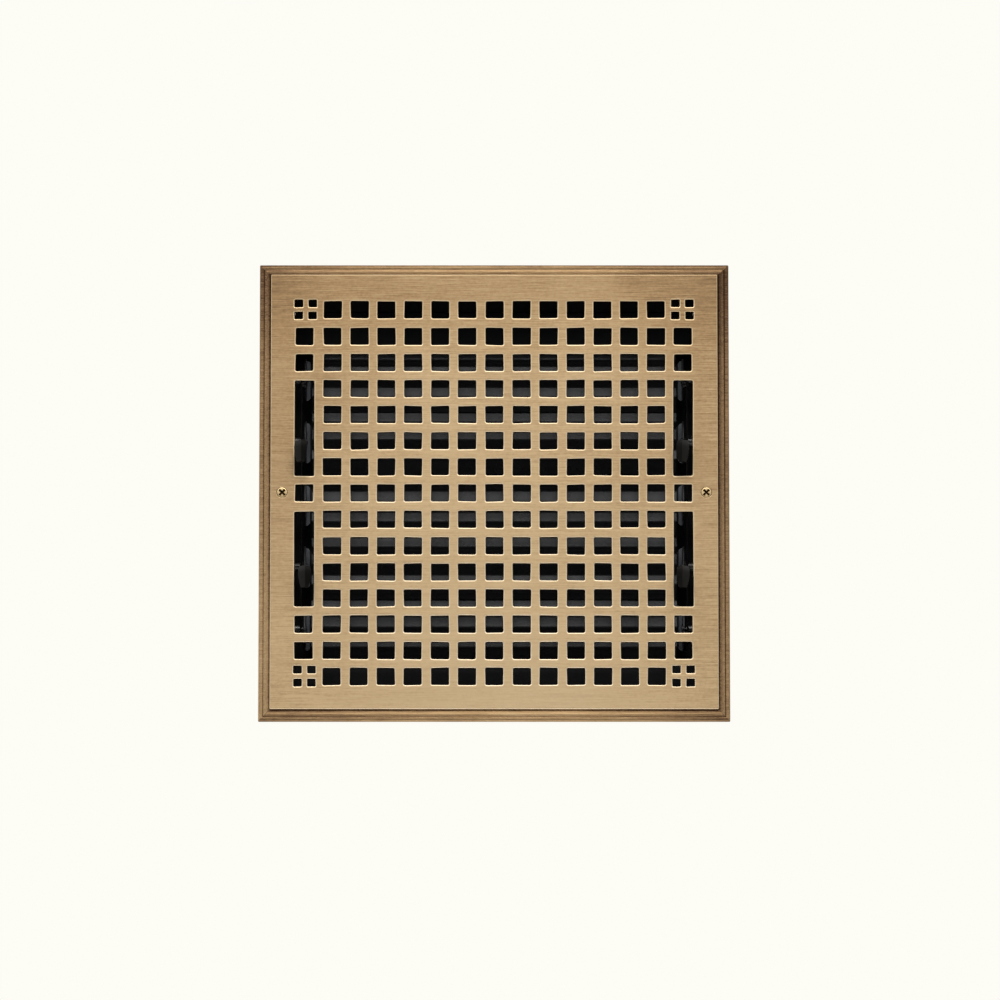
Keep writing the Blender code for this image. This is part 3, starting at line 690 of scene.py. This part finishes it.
def thread(shell, centre, start, tip):
    """Tapering threaded shank with a point: a height field round the axis."""
    segs, rows, pitch = 48, 120, 1.6
    neck, core_radius, crest_height = 1.9, 1.38, 0.55
    rings = []
    for row in range(rows + 1):
        t = row / rows
        y = start + (tip - 0.25 - start) * t
        ring = []
        for k in range(segs):
            ang = 2 * math.pi * k / segs
            wave = abs(((y - start) / pitch - k / segs) % 1.0 - 0.5) * 2.0
            crest = max(0.0, wave - 0.35) / 0.65
            core = core_radius if t < 0.8 else core_radius * (1.0 - (t - 0.8) / 0.2) + 0.12
            ease = min(1.0, t * 9.0) * min(1.0, (1.03 - t) * 5.0)
            r = core + (neck - core_radius) * (1.0 - min(1.0, t * 9.0)) + crest_height * crest * ease
            pos = axis_point("y", centre, r * math.cos(ang), r * math.sin(ang), y)
            # crests paler than the roots: painted shade in the thread's roots
            ring.append(shell.point(*pos, 0.25 + 0.5 * crest))
        rings.append(ring)
    shell.loft(rings)
    shell.bridge(rings[-1], [shell.point(centre[0], tip, centre[1], 0.6)] * segs)


def mounting_screws():
    """Countersunk wood screws with a cross recess and a real thread."""
    face = FACE_Y + 0.06
    for side, s in SIDES:
        centre = (s * SCREW_X, SEAT_Z)
        profile = [(0.0, face - 0.06, 0.78), (1.6, face - 0.06, 0.78), (3.1, face - 0.05, 0.78),
                   (3.55, face - 0.02, 0.85), (3.72, face + 0.08, 0.6), (3.7, face + 0.3, 0.4),
                   (2.0, face + 2.25, 0.3), (1.9, face + 3.2, 0.4)]
        shell = lathe(profile, "y", centre, 48)
        thread(shell, centre, face + 3.2, box_mm("mounting_screw_" + side)[1].y)
        name = "wood_screw_" + side
        ob = piece(name, shell.mesh(name), "register", SCREW, "screw_brass", "mounting_screw_" + side)
        joined(ob, cross_recess(*centre, face - 0.06, 2.0, 1.5, 2.95), "DIFFERENCE")
        shade_recess(ob, *centre, face, face + 2.1, 2.98)
        sharpened(ob.data, 32)


def fixing_screws():
    """Slotted screws that hold the rails to the casting."""
    for side, s in SIDES:
        for level, up in (("top", 1), ("bottom", -1)):
            name = "fixing_screw_%s_%s" % (side, level)
            low, high = box_mm(name)
            centre = ((low.x + high.x) / 2.0, (low.z + high.z) / 2.0)
            seat = -1.5
            profile = [(0.0, low.y, 0.3), (1.2, low.y, 0.3), (1.33, low.y + 0.2, 0.3), (1.33, seat, 0.2),
                       (2.85, seat, 0.25), (2.88, seat + 0.3, 0.5), (2.7, -0.5, 0.75), (2.2, -0.24, 0.7),
                       (1.2, high.y - 0.03, 0.6), (0.0, high.y, 0.6)]
            ob = piece("rail_screw_%s_%s" % (side, level), lathe(profile, "y", centre, 32).mesh(name + "_v"),
                       "register", STEEL, "pin_steel", name)
            cut = Shell()
            ang = math.radians(20.0 + 37.0 * s + 25.0 * up)
            rings = []
            for y in (-0.62, 0.4):
                ring = []
                for a, b in ((-4.0, -0.32), (4.0, -0.32), (4.0, 0.32), (-4.0, 0.32)):
                    # tone 0.1 on the slot cutter, painted shade for the slot's walls
                    ring.append(cut.point(centre[0] + a * math.cos(ang) - b * math.sin(ang), y,
                                          centre[1] + a * math.sin(ang) + b * math.cos(ang), 0.1))
                rings.append(ring)
            cut.solid(rings, True)
            joined(ob, cut.mesh("slot"), "DIFFERENCE")
            sharpened(ob.data, 32)


def turned_along_x(name, profile, s, pivot, segs, body, node):
    """Steel pin or rivet; s is the side it stands on."""
    centre = (pivot.y, pivot.z)
    mesh = lathe([(r, s * t, tone) for r, t, tone in profile], "x", centre, segs).mesh(name)
    sharpened(mesh, 32)
    piece(name, mesh, body, STEEL, "pin_steel", node)


def x_span(node):
    """Distances of a node's two ends from the middle plane, the nearer first."""
    low, high = box_mm(node)
    return sorted((abs(low.x), abs(high.x)))


def pins_and_rivets():
    ear_in, ear_out = EAR_HIGH.x - 1.2, EAR_HIGH.x
    wall = SIDE_HIGH.x - 1.0
    for side, s in SIDES:
        for i, pivot in PIVOTS.items():
            body = "louvre_%d" % i
            tag = "%s_%d" % (side, i)
            near, far = x_span("pivot_" + tag)
            # tones: low on the necks and on the link rivets as painted shade inside the damper, paler at the
            # pins' outer ends
            profile = [(0.0, near, 0.35), (1.6, near, 0.35), (2.7, near + 0.15, 0.4),
                       (3.05, near + 0.45, 0.3), (3.08, ear_in - 0.1, 0.3), (2.0, ear_in - 0.1, 0.2),
                       (2.0, ear_out + 1.8, 0.35), (3.0, ear_out + 1.8, 0.4), (3.1, ear_out + 1.95, 0.7),
                       (3.1, wall - 0.45, 0.6), (3.0, wall - 0.3, 0.5), (2.0, wall - 0.3, 0.3),
                       (2.0, far - 0.35, 0.6), (1.7, far, 0.8), (0.0, far, 0.7)]
            turned_along_x("pivot_pin_" + tag, profile, s, pivot, 28, body, "pivot_" + tag)
            near, far = x_span("crank_rivet_" + tag)
            spacer = 1.5 if i in LEVER_BLADES else 2.6
            profile = [(0.0, near, 0.25), (1.3, near + 0.05, 0.25), (2.2, near + 0.25, 0.2),
                       (2.58, near + 0.6, 0.15), (2.58, ear_in - 0.1, 0.3), (1.5, ear_in - 0.1, 0.2),
                       (1.5, ear_out + 0.1, 0.2), (spacer, ear_out + 0.1, 0.1), (spacer, ear_out + 1.5, 0.1),
                       (1.5, ear_out + 1.5, 0.2), (1.5, far - 0.75, 0.1), (2.58, far - 0.75, 0.1),
                       (2.5, far - 0.4, 0.15), (1.7, far - 0.1, 0.2), (0.0, far, 0.2)]
            turned_along_x("link_rivet_" + tag, profile, s, pivot + CRANK, 24, body, "crank_rivet_" + tag)


# ---- sheet metal ----

def fillet(points, radius, steps=5):
    """Open polyline with its bends rounded."""
    pts = [Vector(p) for p in points]
    out = [pts[0]]
    for before, here, after in zip(pts, pts[1:], pts[2:]):
        a, b = (before - here), (after - here)
        cut = min(radius, a.length * 0.45, b.length * 0.45)
        p, q = here + a.normalized() * cut, here + b.normalized() * cut
        for k in range(steps + 1):
            t = k / steps
            out.append(p * (1 - t) ** 2 + here * 2 * t * (1 - t) + q * t ** 2)
    out.append(pts[-1])
    return out


def sideways(points, distance):
    """Polyline moved to its left by distance."""
    out = []
    for i, here in enumerate(points):
        ahead = points[min(i + 1, len(points) - 1)] - points[max(i - 1, 0)]
        ahead.normalize()
        out.append(here + Vector((-ahead.y, ahead.x)) * distance)
    return out


def strip_section(points, thickness, edge=0.18):
    """Closed outline of a bent sheet with slightly rounded edges."""
    half = thickness / 2.0
    line = list(points)
    start = (line[1] - line[0]).normalized()
    stop = (line[-2] - line[-1]).normalized()
    left = sideways(line, half)
    right = sideways(line, -half)
    left[0], right[0] = left[0] + start * edge, right[0] + start * edge
    left[-1], right[-1] = left[-1] + stop * edge, right[-1] + stop * edge
    side0 = Vector((-start.y, start.x))
    side1 = Vector((stop.y, -stop.x))
    tip0 = [line[0] + side0 * (half - edge), line[0] - side0 * (half - edge)]
    tip1 = [line[-1] - side1 * (half - edge), line[-1] + side1 * (half - edge)]
    return left + tip1[::-1] + right[::-1] + tip0[::-1]


def extruded(name, outline, stations, place=(0.0, 0.0), wobble=None):
    """Prism of a (y, z) outline through stations along X; wobble moves each point a little in Y."""
    shell = Shell()
    rings = []
    for x in stations:
        ring = []
        for y, z in outline:
            dy = wobble(x, z) if wobble else 0.0
            ring.append(shell.point(x, place[0] + (y + dy), place[1] + z))
        rings.append(ring)
    shell.solid(rings)
    mesh = shell.mesh(name)
    sharpened(mesh, 40)
    return mesh


# pressed section of a blade about its pivot, top edge to bottom edge (y, z)
BLADE_SECTION = ((3.8, 25.4), (3.8, 24.0), (1.2, 15.2), (2.8, 11.0), (0.3, 1.5), (2.3, -5.6), (0.0, -13.8),
                 (2.2, -20.0), (2.5, -24.4))


def blades():
    """Pressed blades, each with its own slight waviness."""
    outline = strip_section(fillet(BLADE_SECTION, 1.5), 0.8)
    half = BLADE_HIGH.x - 0.05
    count = 36
    stations = [-half, -half + 0.2] + [-half + 2 * half * k / count for k in range(1, count)]
    stations += [half - 0.2, half]
    for i, pivot in PIVOTS.items():
        def wobble(x, z):
            return 0.22 * noise.noise(Vector((x * 0.016, (z + pivot.z) * 0.02, i * 7.3)))

        mesh = extruded("louvre_blade", outline, stations, (pivot.y, pivot.z), wobble)
        piece("louvre_blade_%d" % i, mesh, "louvre_%d" % i, BLACK_BLADE, "black_blade", "blade_%d" % i)


# forward plate of an ear, from the bend to the crank: (y, top, bottom) about the pivot
EAR_REACH = (
    (-4.6, 13.9, -15.0), (-6.4, 10.5, -14.2), (-7.6, 5.0, -13.3), (-8.6, 0.8, -12.6),
    (-9.8, -2.0, -12.0), (-11.0, -2.75, -11.4), (-12.1, -2.65, -11.35), (-13.6, -2.9, -11.1),
    (-15.0, -3.9, -10.2), (-15.9, -5.0, -9.1), (-16.4, -6.3, -7.7),
)
# tab of an ear behind the blade, from its free end to the bend: (x, half height)
EAR_TAB = (
    (EAR_LOW.x + 0.1, 10.5), (EAR_LOW.x + 1.2, 12.2), (EAR_LOW.x + 3.0, 13.0), (135.6, 13.0), (136.6, 11.6),
    (136.9, 12.6), (137.4, 13.6), (138.0, 14.4), (138.7, 14.95), (139.4, 15.2),
)


def ear_stations():
    """The ear's cross sections in order: middle (x, y), outward (x, y), top, bottom, thickness."""
    tab_y = EAR_HIGH.y - PIVOT_Y - 0.5
    tall = (EAR_HIGH.z - EAR_LOW.z) / 2.0
    outer = EAR_HIGH.x - 0.6
    stations = [((x, tab_y), (0.0, 1.0), top, -top, 1.0) for x, top in EAR_TAB]
    for k in range(6):
        ang = math.radians(90.0 * k / 5)
        stations.append(((outer - 1.0 + 1.0 * math.sin(ang), tab_y - 1.0 + 1.0 * math.cos(ang)),
                         (math.sin(ang), math.cos(ang)), tall, -tall, 1.0 + 0.1 * k / 5))
    for y, top, bottom in ((0.5, tall, -tall), (-2.6, 15.0, -tall + 0.1)) + EAR_REACH:
        stations.append(((outer, y), (1.0, 0.0), top, bottom, 1.15))
    return stations


def ears():
    """End brackets: tab behind the blade, bend, forward plate that tapers to the crank."""
    stations = ear_stations()
    for side, s in SIDES:
        for i, pivot in PIVOTS.items():
            shell = Shell()
            rings = []
            for (x, y), (nx, ny), top, bottom, thick in stations:
                h = thick / 2.0
                # painted light: the tab behind the blade dark as painted shade, its end at the bend pale as a
                # painted highlight
                tone = 0.15 if x < 137.2 else 0.95 if ny > 0.99 else 0.35
                rings.append([
                    shell.point(s * (x + nx * off), PIVOT_Y + y + ny * off, pivot.z + z, tone)
                    for off, z in ((-h, bottom), (-h, top), (h, top), (h, bottom))
                ])
            shell.solid(rings)
            tag = "ear_%s_%d" % (side, i)
            ob = piece("blade_" + tag, shell.mesh("blade_ear"), "louvre_%d" % i, BLACK_BOX, "black_steel",
                       tag)
            bevelled(ob, 0.16)


def link_bars():
    """Thin upright bars with round ends."""
    for side, _ in SIDES:
        low, high = box_mm("link_bar_" + side)
        shell = Shell()
        mid = (low.y + high.y) / 2.0
        half = (high.y - low.y) / 2.0
        outline = []
        for cz, sign in ((high.z - half, 1), (low.z + half, -1)):
            for k in range(13):
                ang = math.radians(180.0 * k / 12)
                outline.append((mid + sign * half * math.cos(ang), cz + sign * half * math.sin(ang)))
        shell.solid([[shell.point(x, y, z) for y, z in outline] for x in (low.x, high.x)])
        ob = piece("gang_bar_" + side, shell.mesh("gang_bar"), "link_" + side, BLACK_LEVER, "black_lever",
                   "link_bar_" + side)
        bevelled(ob, 0.2)


def lever_axes(i):
    """Directions along and across a lever at rest, towards the knob, and its pivot (y, z)."""
    knob = knob_centre("right", LEVER_BLADES[i])
    pivot = Vector((PIVOTS[i].y, PIVOTS[i].z))
    along = Vector((knob.y, knob.z)) - pivot
    along.normalize()
    return along, Vector((-along.y, along.x)), pivot


def knob_centre(side, level):
    low, high = box_mm("knob_%s_%s" % (side, level))
    return (low + high) / 2.0


# outline of a lever from behind the pivot to the knob: (distance along, half width)
LEVER_ROWS = (
    (-5.0, 2.2), (-4.6, 3.4), (-3.6, 4.6), (-2.0, 5.5), (0.0, 5.8), (3.0, 5.7), (7.0, 5.3), (12.0, 5.3),
    (15.5, 5.2), (18.5, 4.6), (21.0, 4.15), (24.0, 4.0), *((24.0 + 1.2 * k, 4.0) for k in range(1, 11)),
    (40.0, 3.9), (45.0, 3.75), (50.4, 3.55),
)
BEND_START, BEND_LENGTH = 26.5, 9.0


def levers():
    """Flat arms clamped on the ears, each bent sideways to meet its own knob."""
    plane_x = EAR_HIGH.x + 0.8
    for side, s in SIDES:
        for i, level in LEVER_BLADES.items():
            along, across, pivot = lever_axes(i)
            plane = s * plane_x
            shift = knob_centre(side, level).x - plane
            shell = Shell()
            rings = []
            for reach, half in LEVER_ROWS:
                t = min(1.0, max(0.0, (reach - BEND_START) / BEND_LENGTH))
                bend = shift * t * t * (3 - 2 * t)
                ring = []
                for face in (-0.6, 0.6):
                    for edge in (-half, half):
                        p = pivot + along * reach + across * edge
                        ring.append(shell.point(plane + face + bend, p.x, p.y, 0.55))
                rings.append((ring[0], ring[1], ring[3], ring[2]))
            shell.solid(rings)
            tag = "%s_%s" % (side, level)
            ob = piece("lever_arm_" + tag, shell.mesh("lever_arm"), "louvre_%d" % i, BLACK_LEVER,
                       "black_lever", "lever_" + tag)
            bevelled(ob, 0.2)


# cross sections of a knob from top to bottom: height, half width, then how far forward of its middle
# the ridge, the side edges and the back are
KNOB_ROWS = (
    (8.2, 3.9, 3.2, 0.2, -1.6), (5.8, 4.6, 3.85, 0.4, -4.0), (3.05, 4.85, 4.4, 0.5, -4.4),
    (-0.6, 4.5, 3.65, 0.4, -4.4), (-4.4, 3.8, 2.9, 0.2, -3.9), (-8.0, 2.7, 2.15, 0.0, -1.6),
)
KNOB_RIDGE = -0.4
KNOB_GROOVES = 5


def knob_row(up, wide, top, edge, rear):
    """One cross section as (outward, forward, tone): back, grooved inner facet, ridge, outer facet."""
    # tones: the grooved inner facet and the back dark as painted shade, the ridge and outer facet lighter
    row = [(-wide * 0.86, rear, 0.1), (-wide, edge - 0.6, 0.1), (-wide, edge, 0.1)]
    for k in range(KNOB_GROOVES):
        for part, dip in ((0.15, 0.0), (0.3, 0.2), (0.55, 0.2), (0.7, 0.0)):
            t = (k + part) / KNOB_GROOVES
            depth = dip * (0.0 if abs(up) > 7.9 else 1.0)
            row.append((-wide + (KNOB_RIDGE + wide) * t, edge + (top - edge) * t - depth, 0.12))
    row += [(KNOB_RIDGE, top, 0.6), (wide, edge, 0.6), (wide, edge - 0.6, 0.5), (wide * 0.86, rear, 0.3)]
    return row


def knobs():
    """Faceted thumb pieces: upright ridge, fine upright grooves on the inner facet."""
    for side, s in SIDES:
        for i, level in LEVER_BLADES.items():
            c = knob_centre(side, level)
            shell = Shell()
            rings = []
            for section in KNOB_ROWS:
                up = section[0]
                # rows near the top get a paler tone as painted light
                rings.append([shell.point(c.x + s * o, c.y - f, c.z + up, tone + (0.1 if up > 5.0 else 0.0))
                              for o, f, tone in knob_row(*section)])
            shell.solid(rings)
            tag = "%s_%s" % (side, level)
            ob = piece("thumb_piece_" + tag, shell.mesh("thumb_piece"), "louvre_%d" % i, BLACK_LEVER,
                       "black_lever", "knob_" + tag)
            bevelled(ob, 0.16, 26.0)


def bent_sheet(points, thickness, stations, place):
    """Sheet bent along points with 1.6 mm bends, carried through stations; place maps to (x, y, z)."""
    outline = strip_section(fillet(points, 1.6, 6), thickness)
    shell = Shell()
    shell.solid([[shell.point(*place(p, at)) for p in outline] for at in stations])
    return shell


def side_plate(side, s):
    """Side plate with a rear flange, returns at the top and bottom, and bored for the pivot pins."""
    outer, top, back = SIDE_HIGH.x, SIDE_HIGH.z, SIDE_HIGH.y
    wall, rear = outer - 0.5, back - 0.5
    name = "side_plate_" + side
    sheet = bent_sheet([(wall, SIDE_LOW.y + 0.05), (wall, rear), (SIDE_LOW.x + 0.05, rear)], 0.98,
                       (-top + 1.4, -top + 1.55, 0.0, top - 1.55, top - 1.4),
                       lambda p, z: (s * p.x, p.y, z))
    ob = piece(name, sheet.mesh(name), "register", BLACK_BOX, "black_steel", "damper_side_" + side)
    for up in (-1, 1):
        sheet = bent_sheet([(wall, top - 12.0), (wall, top - 0.5), (outer - 9.95, top - 0.5)], 1.0,
                           (SIDE_LOW.y + 0.02, SIDE_LOW.y + 0.15, 32.8, 32.95),
                           lambda p, y: (s * p.x, y, up * p.y))
        joined(ob, sheet.mesh("return"))
        sheet = bent_sheet([(wall, 33.4), (wall, rear), (SIDE_LOW.x + 0.07, rear)], 0.95,
                           (top - 1.9, top - 1.0, top + 0.33), lambda p, z: (s * p.x, p.y, up * z))
        joined(ob, sheet.mesh("corner"))
    for pivot in PIVOTS.values():
        start, stop, radius = s * (outer - 3.0), s * (outer + 2.0), 2.12
        profile = [(0.0, start, 0.3), (radius, start, 0.3), (radius, stop, 0.3), (0.0, stop, 0.3)]
        joined(ob, lathe(profile, "x", (pivot.y, pivot.z), 28).mesh("bore"), "DIFFERENCE")
    shaded(ob, 32)


def strip(name, cad, up, path, half):
    """Bent strip along X, mirrored to the bottom when up is -1."""
    outline = [(y, up * z) for y, z in strip_section(fillet(path, 1.3), 0.97)]
    count = 24
    half += 0.45
    stations = [-half] + [-half + 2 * half * k / count for k in range(1, count)] + [half]
    piece(name, extruded(name, outline, stations), "register", BLACK_BOX, "black_steel", cad)


def frame_sheets():
    """Side plates, rails and closure strips with rounded bends."""
    for side, s in SIDES:
        side_plate(side, s)
    for level, up in (("top", 1), ("bottom", -1)):
        rail = "damper_rail_" + level
        low, high = box_mm(rail)
        front, seat = low.y + 0.5, 149.3
        web = max(abs(high.z), abs(low.z))
        strip("rail_" + level, rail, up, [(front, web - 0.05), (front, seat), (high.y - 0.05, seat)], high.x)
        low, high = box_mm("closure_strip_" + level)
        far, near = sorted((abs(low.z), abs(high.z)), reverse=True)
        front = low.y + 0.5
        path = [(high.y - 0.05, far - 0.5), (front, far - 0.5)]
        if up > 0:
            path.append((front, near + 0.05))
        else:
            path += [(front, 129.0), (low.y + 1.2, near + 0.05)]  # its free edge leans back
        strip("closure_" + level, "closure_strip_" + level, up, path, high.x)


casting()
mounting_screws()
fixing_screws()
pins_and_rivets()
blades()
ears()
link_bars()
levers()
knobs()
frame_sheets()


# ---- stage, lights, camera ----

def stage_floor():
    """Plain pale floor well below the register; it can be seen through from underneath."""
    mesh = bpy.data.meshes.new("floor")
    half, z = 30.0, -3.2
    corners = [(-half, -half, z), (half, -half, z), (half, half, z), (-half, half, z)]
    mesh.from_pydata(corners, [], [(0, 1, 2, 3)])
    floor = bpy.data.objects.new("floor", mesh)
    bpy.context.scene.collection.objects.link(floor)
    mat, tree, shader = graph_of("floor_paint", 0.7, 0.0, (0.86, 0.86, 0.84))
    tint = ramp(tree, noise_at(tree, 0.8, detail=2.0), ((0.3, (0.84, 0.84, 0.82)), (0.7, (0.88, 0.88, 0.86))))
    tree.links.new(tint, shader.inputs["Base Color"])
    glass = node(tree, "ShaderNodeBsdfTransparent")
    mixer = node(tree, "ShaderNodeMixShader")
    side = node(tree, "ShaderNodeNewGeometry")
    out = tree.nodes["Material Output"]
    tree.links.new(side.outputs["Backfacing"], mixer.inputs["Fac"])
    tree.links.new(shader.outputs["BSDF"], mixer.inputs[1])
    tree.links.new(glass.outputs["BSDF"], mixer.inputs[2])
    tree.links.new(mixer.outputs["Shader"], out.inputs["Surface"])
    mesh.materials.append(mat)
    floor.visible_glossy = False


WORLD_LIGHT = 1.35


def studio_world():
    """Near-white surround; light from above, little from below."""
    world = bpy.data.worlds.new("studio")
    bpy.context.scene.world = world
    world.use_nodes = True
    tree = world.node_tree
    tree.nodes.clear()
    coord = node(tree, "ShaderNodeTexCoord")
    split = node(tree, "ShaderNodeSeparateXYZ")
    tree.links.new(coord.outputs["Generated"], split.inputs["Vector"])
    height = mathed(tree, "ADD", mathed(tree, "MULTIPLY", split.outputs["Z"], 0.5), 0.5)
    sky = ramp(tree, height, (
        (0.0, (0.9, 0.9, 0.9)), (0.2, (0.6, 0.6, 0.6)), (0.32, (0.04, 0.04, 0.04)), (0.5, (0.02, 0.02, 0.02)),
        (0.66, (0.12, 0.12, 0.12)), (0.76, (1.0, 1.0, 1.0)), (0.87, (1.0, 1.0, 1.0)), (0.95, (0.5, 0.5, 0.5)),
        (1.0, (0.3, 0.3, 0.3)),
    ))
    squared = mathed(tree, "MULTIPLY", split.outputs["X"], split.outputs["X"])
    tilt = mathed(tree, "SUBTRACT", 0.62, mathed(tree, "MULTIPLY", split.outputs["X"], 0.14))
    aside = mathed(tree, "MULTIPLY", squared, tilt)
    shade = node(tree, "ShaderNodeVectorMath", operation="ADD")
    tree.links.new(sky, shade.inputs[0])
    tree.links.new(aside, shade.inputs[1])
    light = node(tree, "ShaderNodeBackground", Strength=WORLD_LIGHT)
    tree.links.new(shade.outputs["Vector"], light.inputs["Color"])
    seen = node(tree, "ShaderNodeBackground", Color=(0.983, 0.973, 0.913, 1.0), Strength=1.0)
    path = node(tree, "ShaderNodeLightPath")
    mixer = node(tree, "ShaderNodeMixShader")
    out = node(tree, "ShaderNodeOutputWorld")
    tree.links.new(path.outputs["Is Camera Ray"], mixer.inputs["Fac"])
    tree.links.new(light.outputs["Background"], mixer.inputs[1])
    tree.links.new(seen.outputs["Background"], mixer.inputs[2])
    tree.links.new(mixer.outputs["Shader"], out.inputs["Surface"])


def softbox(name, place, target, size, power, tint=(1.0, 1.0, 1.0)):
    data = bpy.data.lights.new(name, "AREA")
    data.shape = "RECTANGLE"
    data.size, data.size_y = size
    data.energy = power
    data.color = tint
    ob = bpy.data.objects.new(name, data)
    bpy.context.scene.collection.objects.link(ob)
    ob.location = place
    ob.rotation_euler = (Vector(target) - Vector(place)).to_track_quat("-Z", "Y").to_euler()
    ob.visible_camera = False


stage_floor()
studio_world()
softbox("key_above", (0.0, -2.6, 2.7), (0.0, 0.0, 0.0), (2.4, 1.5), 84.0)
softbox("low_front", (0.0, -1.2, -1.9), (0.0, 0.0, 0.0), (1.4, 0.7), 16.0)
softbox("back_high", (0.0, 3.2, 2.6), (0.0, 0.0, 0.0), (3.0, 2.0), 60.0)

# framing: a long lens 14 degrees below the register, aimed just beside its centre
ELEVATION = math.radians(-14.0)
DISTANCE = 10.0
FRAME_WIDTH = 0.7423
CENTRE_SHIFT = (4.31 * MM, -6.8 * MM)


def studio_camera():
    data = bpy.data.cameras.new("camera")
    data.sensor_width = 36.0
    data.lens = 36.0 * DISTANCE / FRAME_WIDTH
    data.clip_end = 100.0
    ob = bpy.data.objects.new("camera", data)
    bpy.context.scene.collection.objects.link(ob)
    back = Vector((0.0, -math.cos(ELEVATION), math.sin(ELEVATION)))
    up = Vector((0.0, math.sin(ELEVATION), math.cos(ELEVATION)))
    target = Vector((CENTRE_SHIFT[0], FACE_Y * MM, 0.0)) + up * CENTRE_SHIFT[1]
    ob.location = target + back * DISTANCE
    ob.rotation_euler = (-back).to_track_quat("-Z", "Y").to_euler()
    bpy.context.scene.camera = ob


studio_camera()
bpy.context.scene.view_settings.view_transform = "Standard"
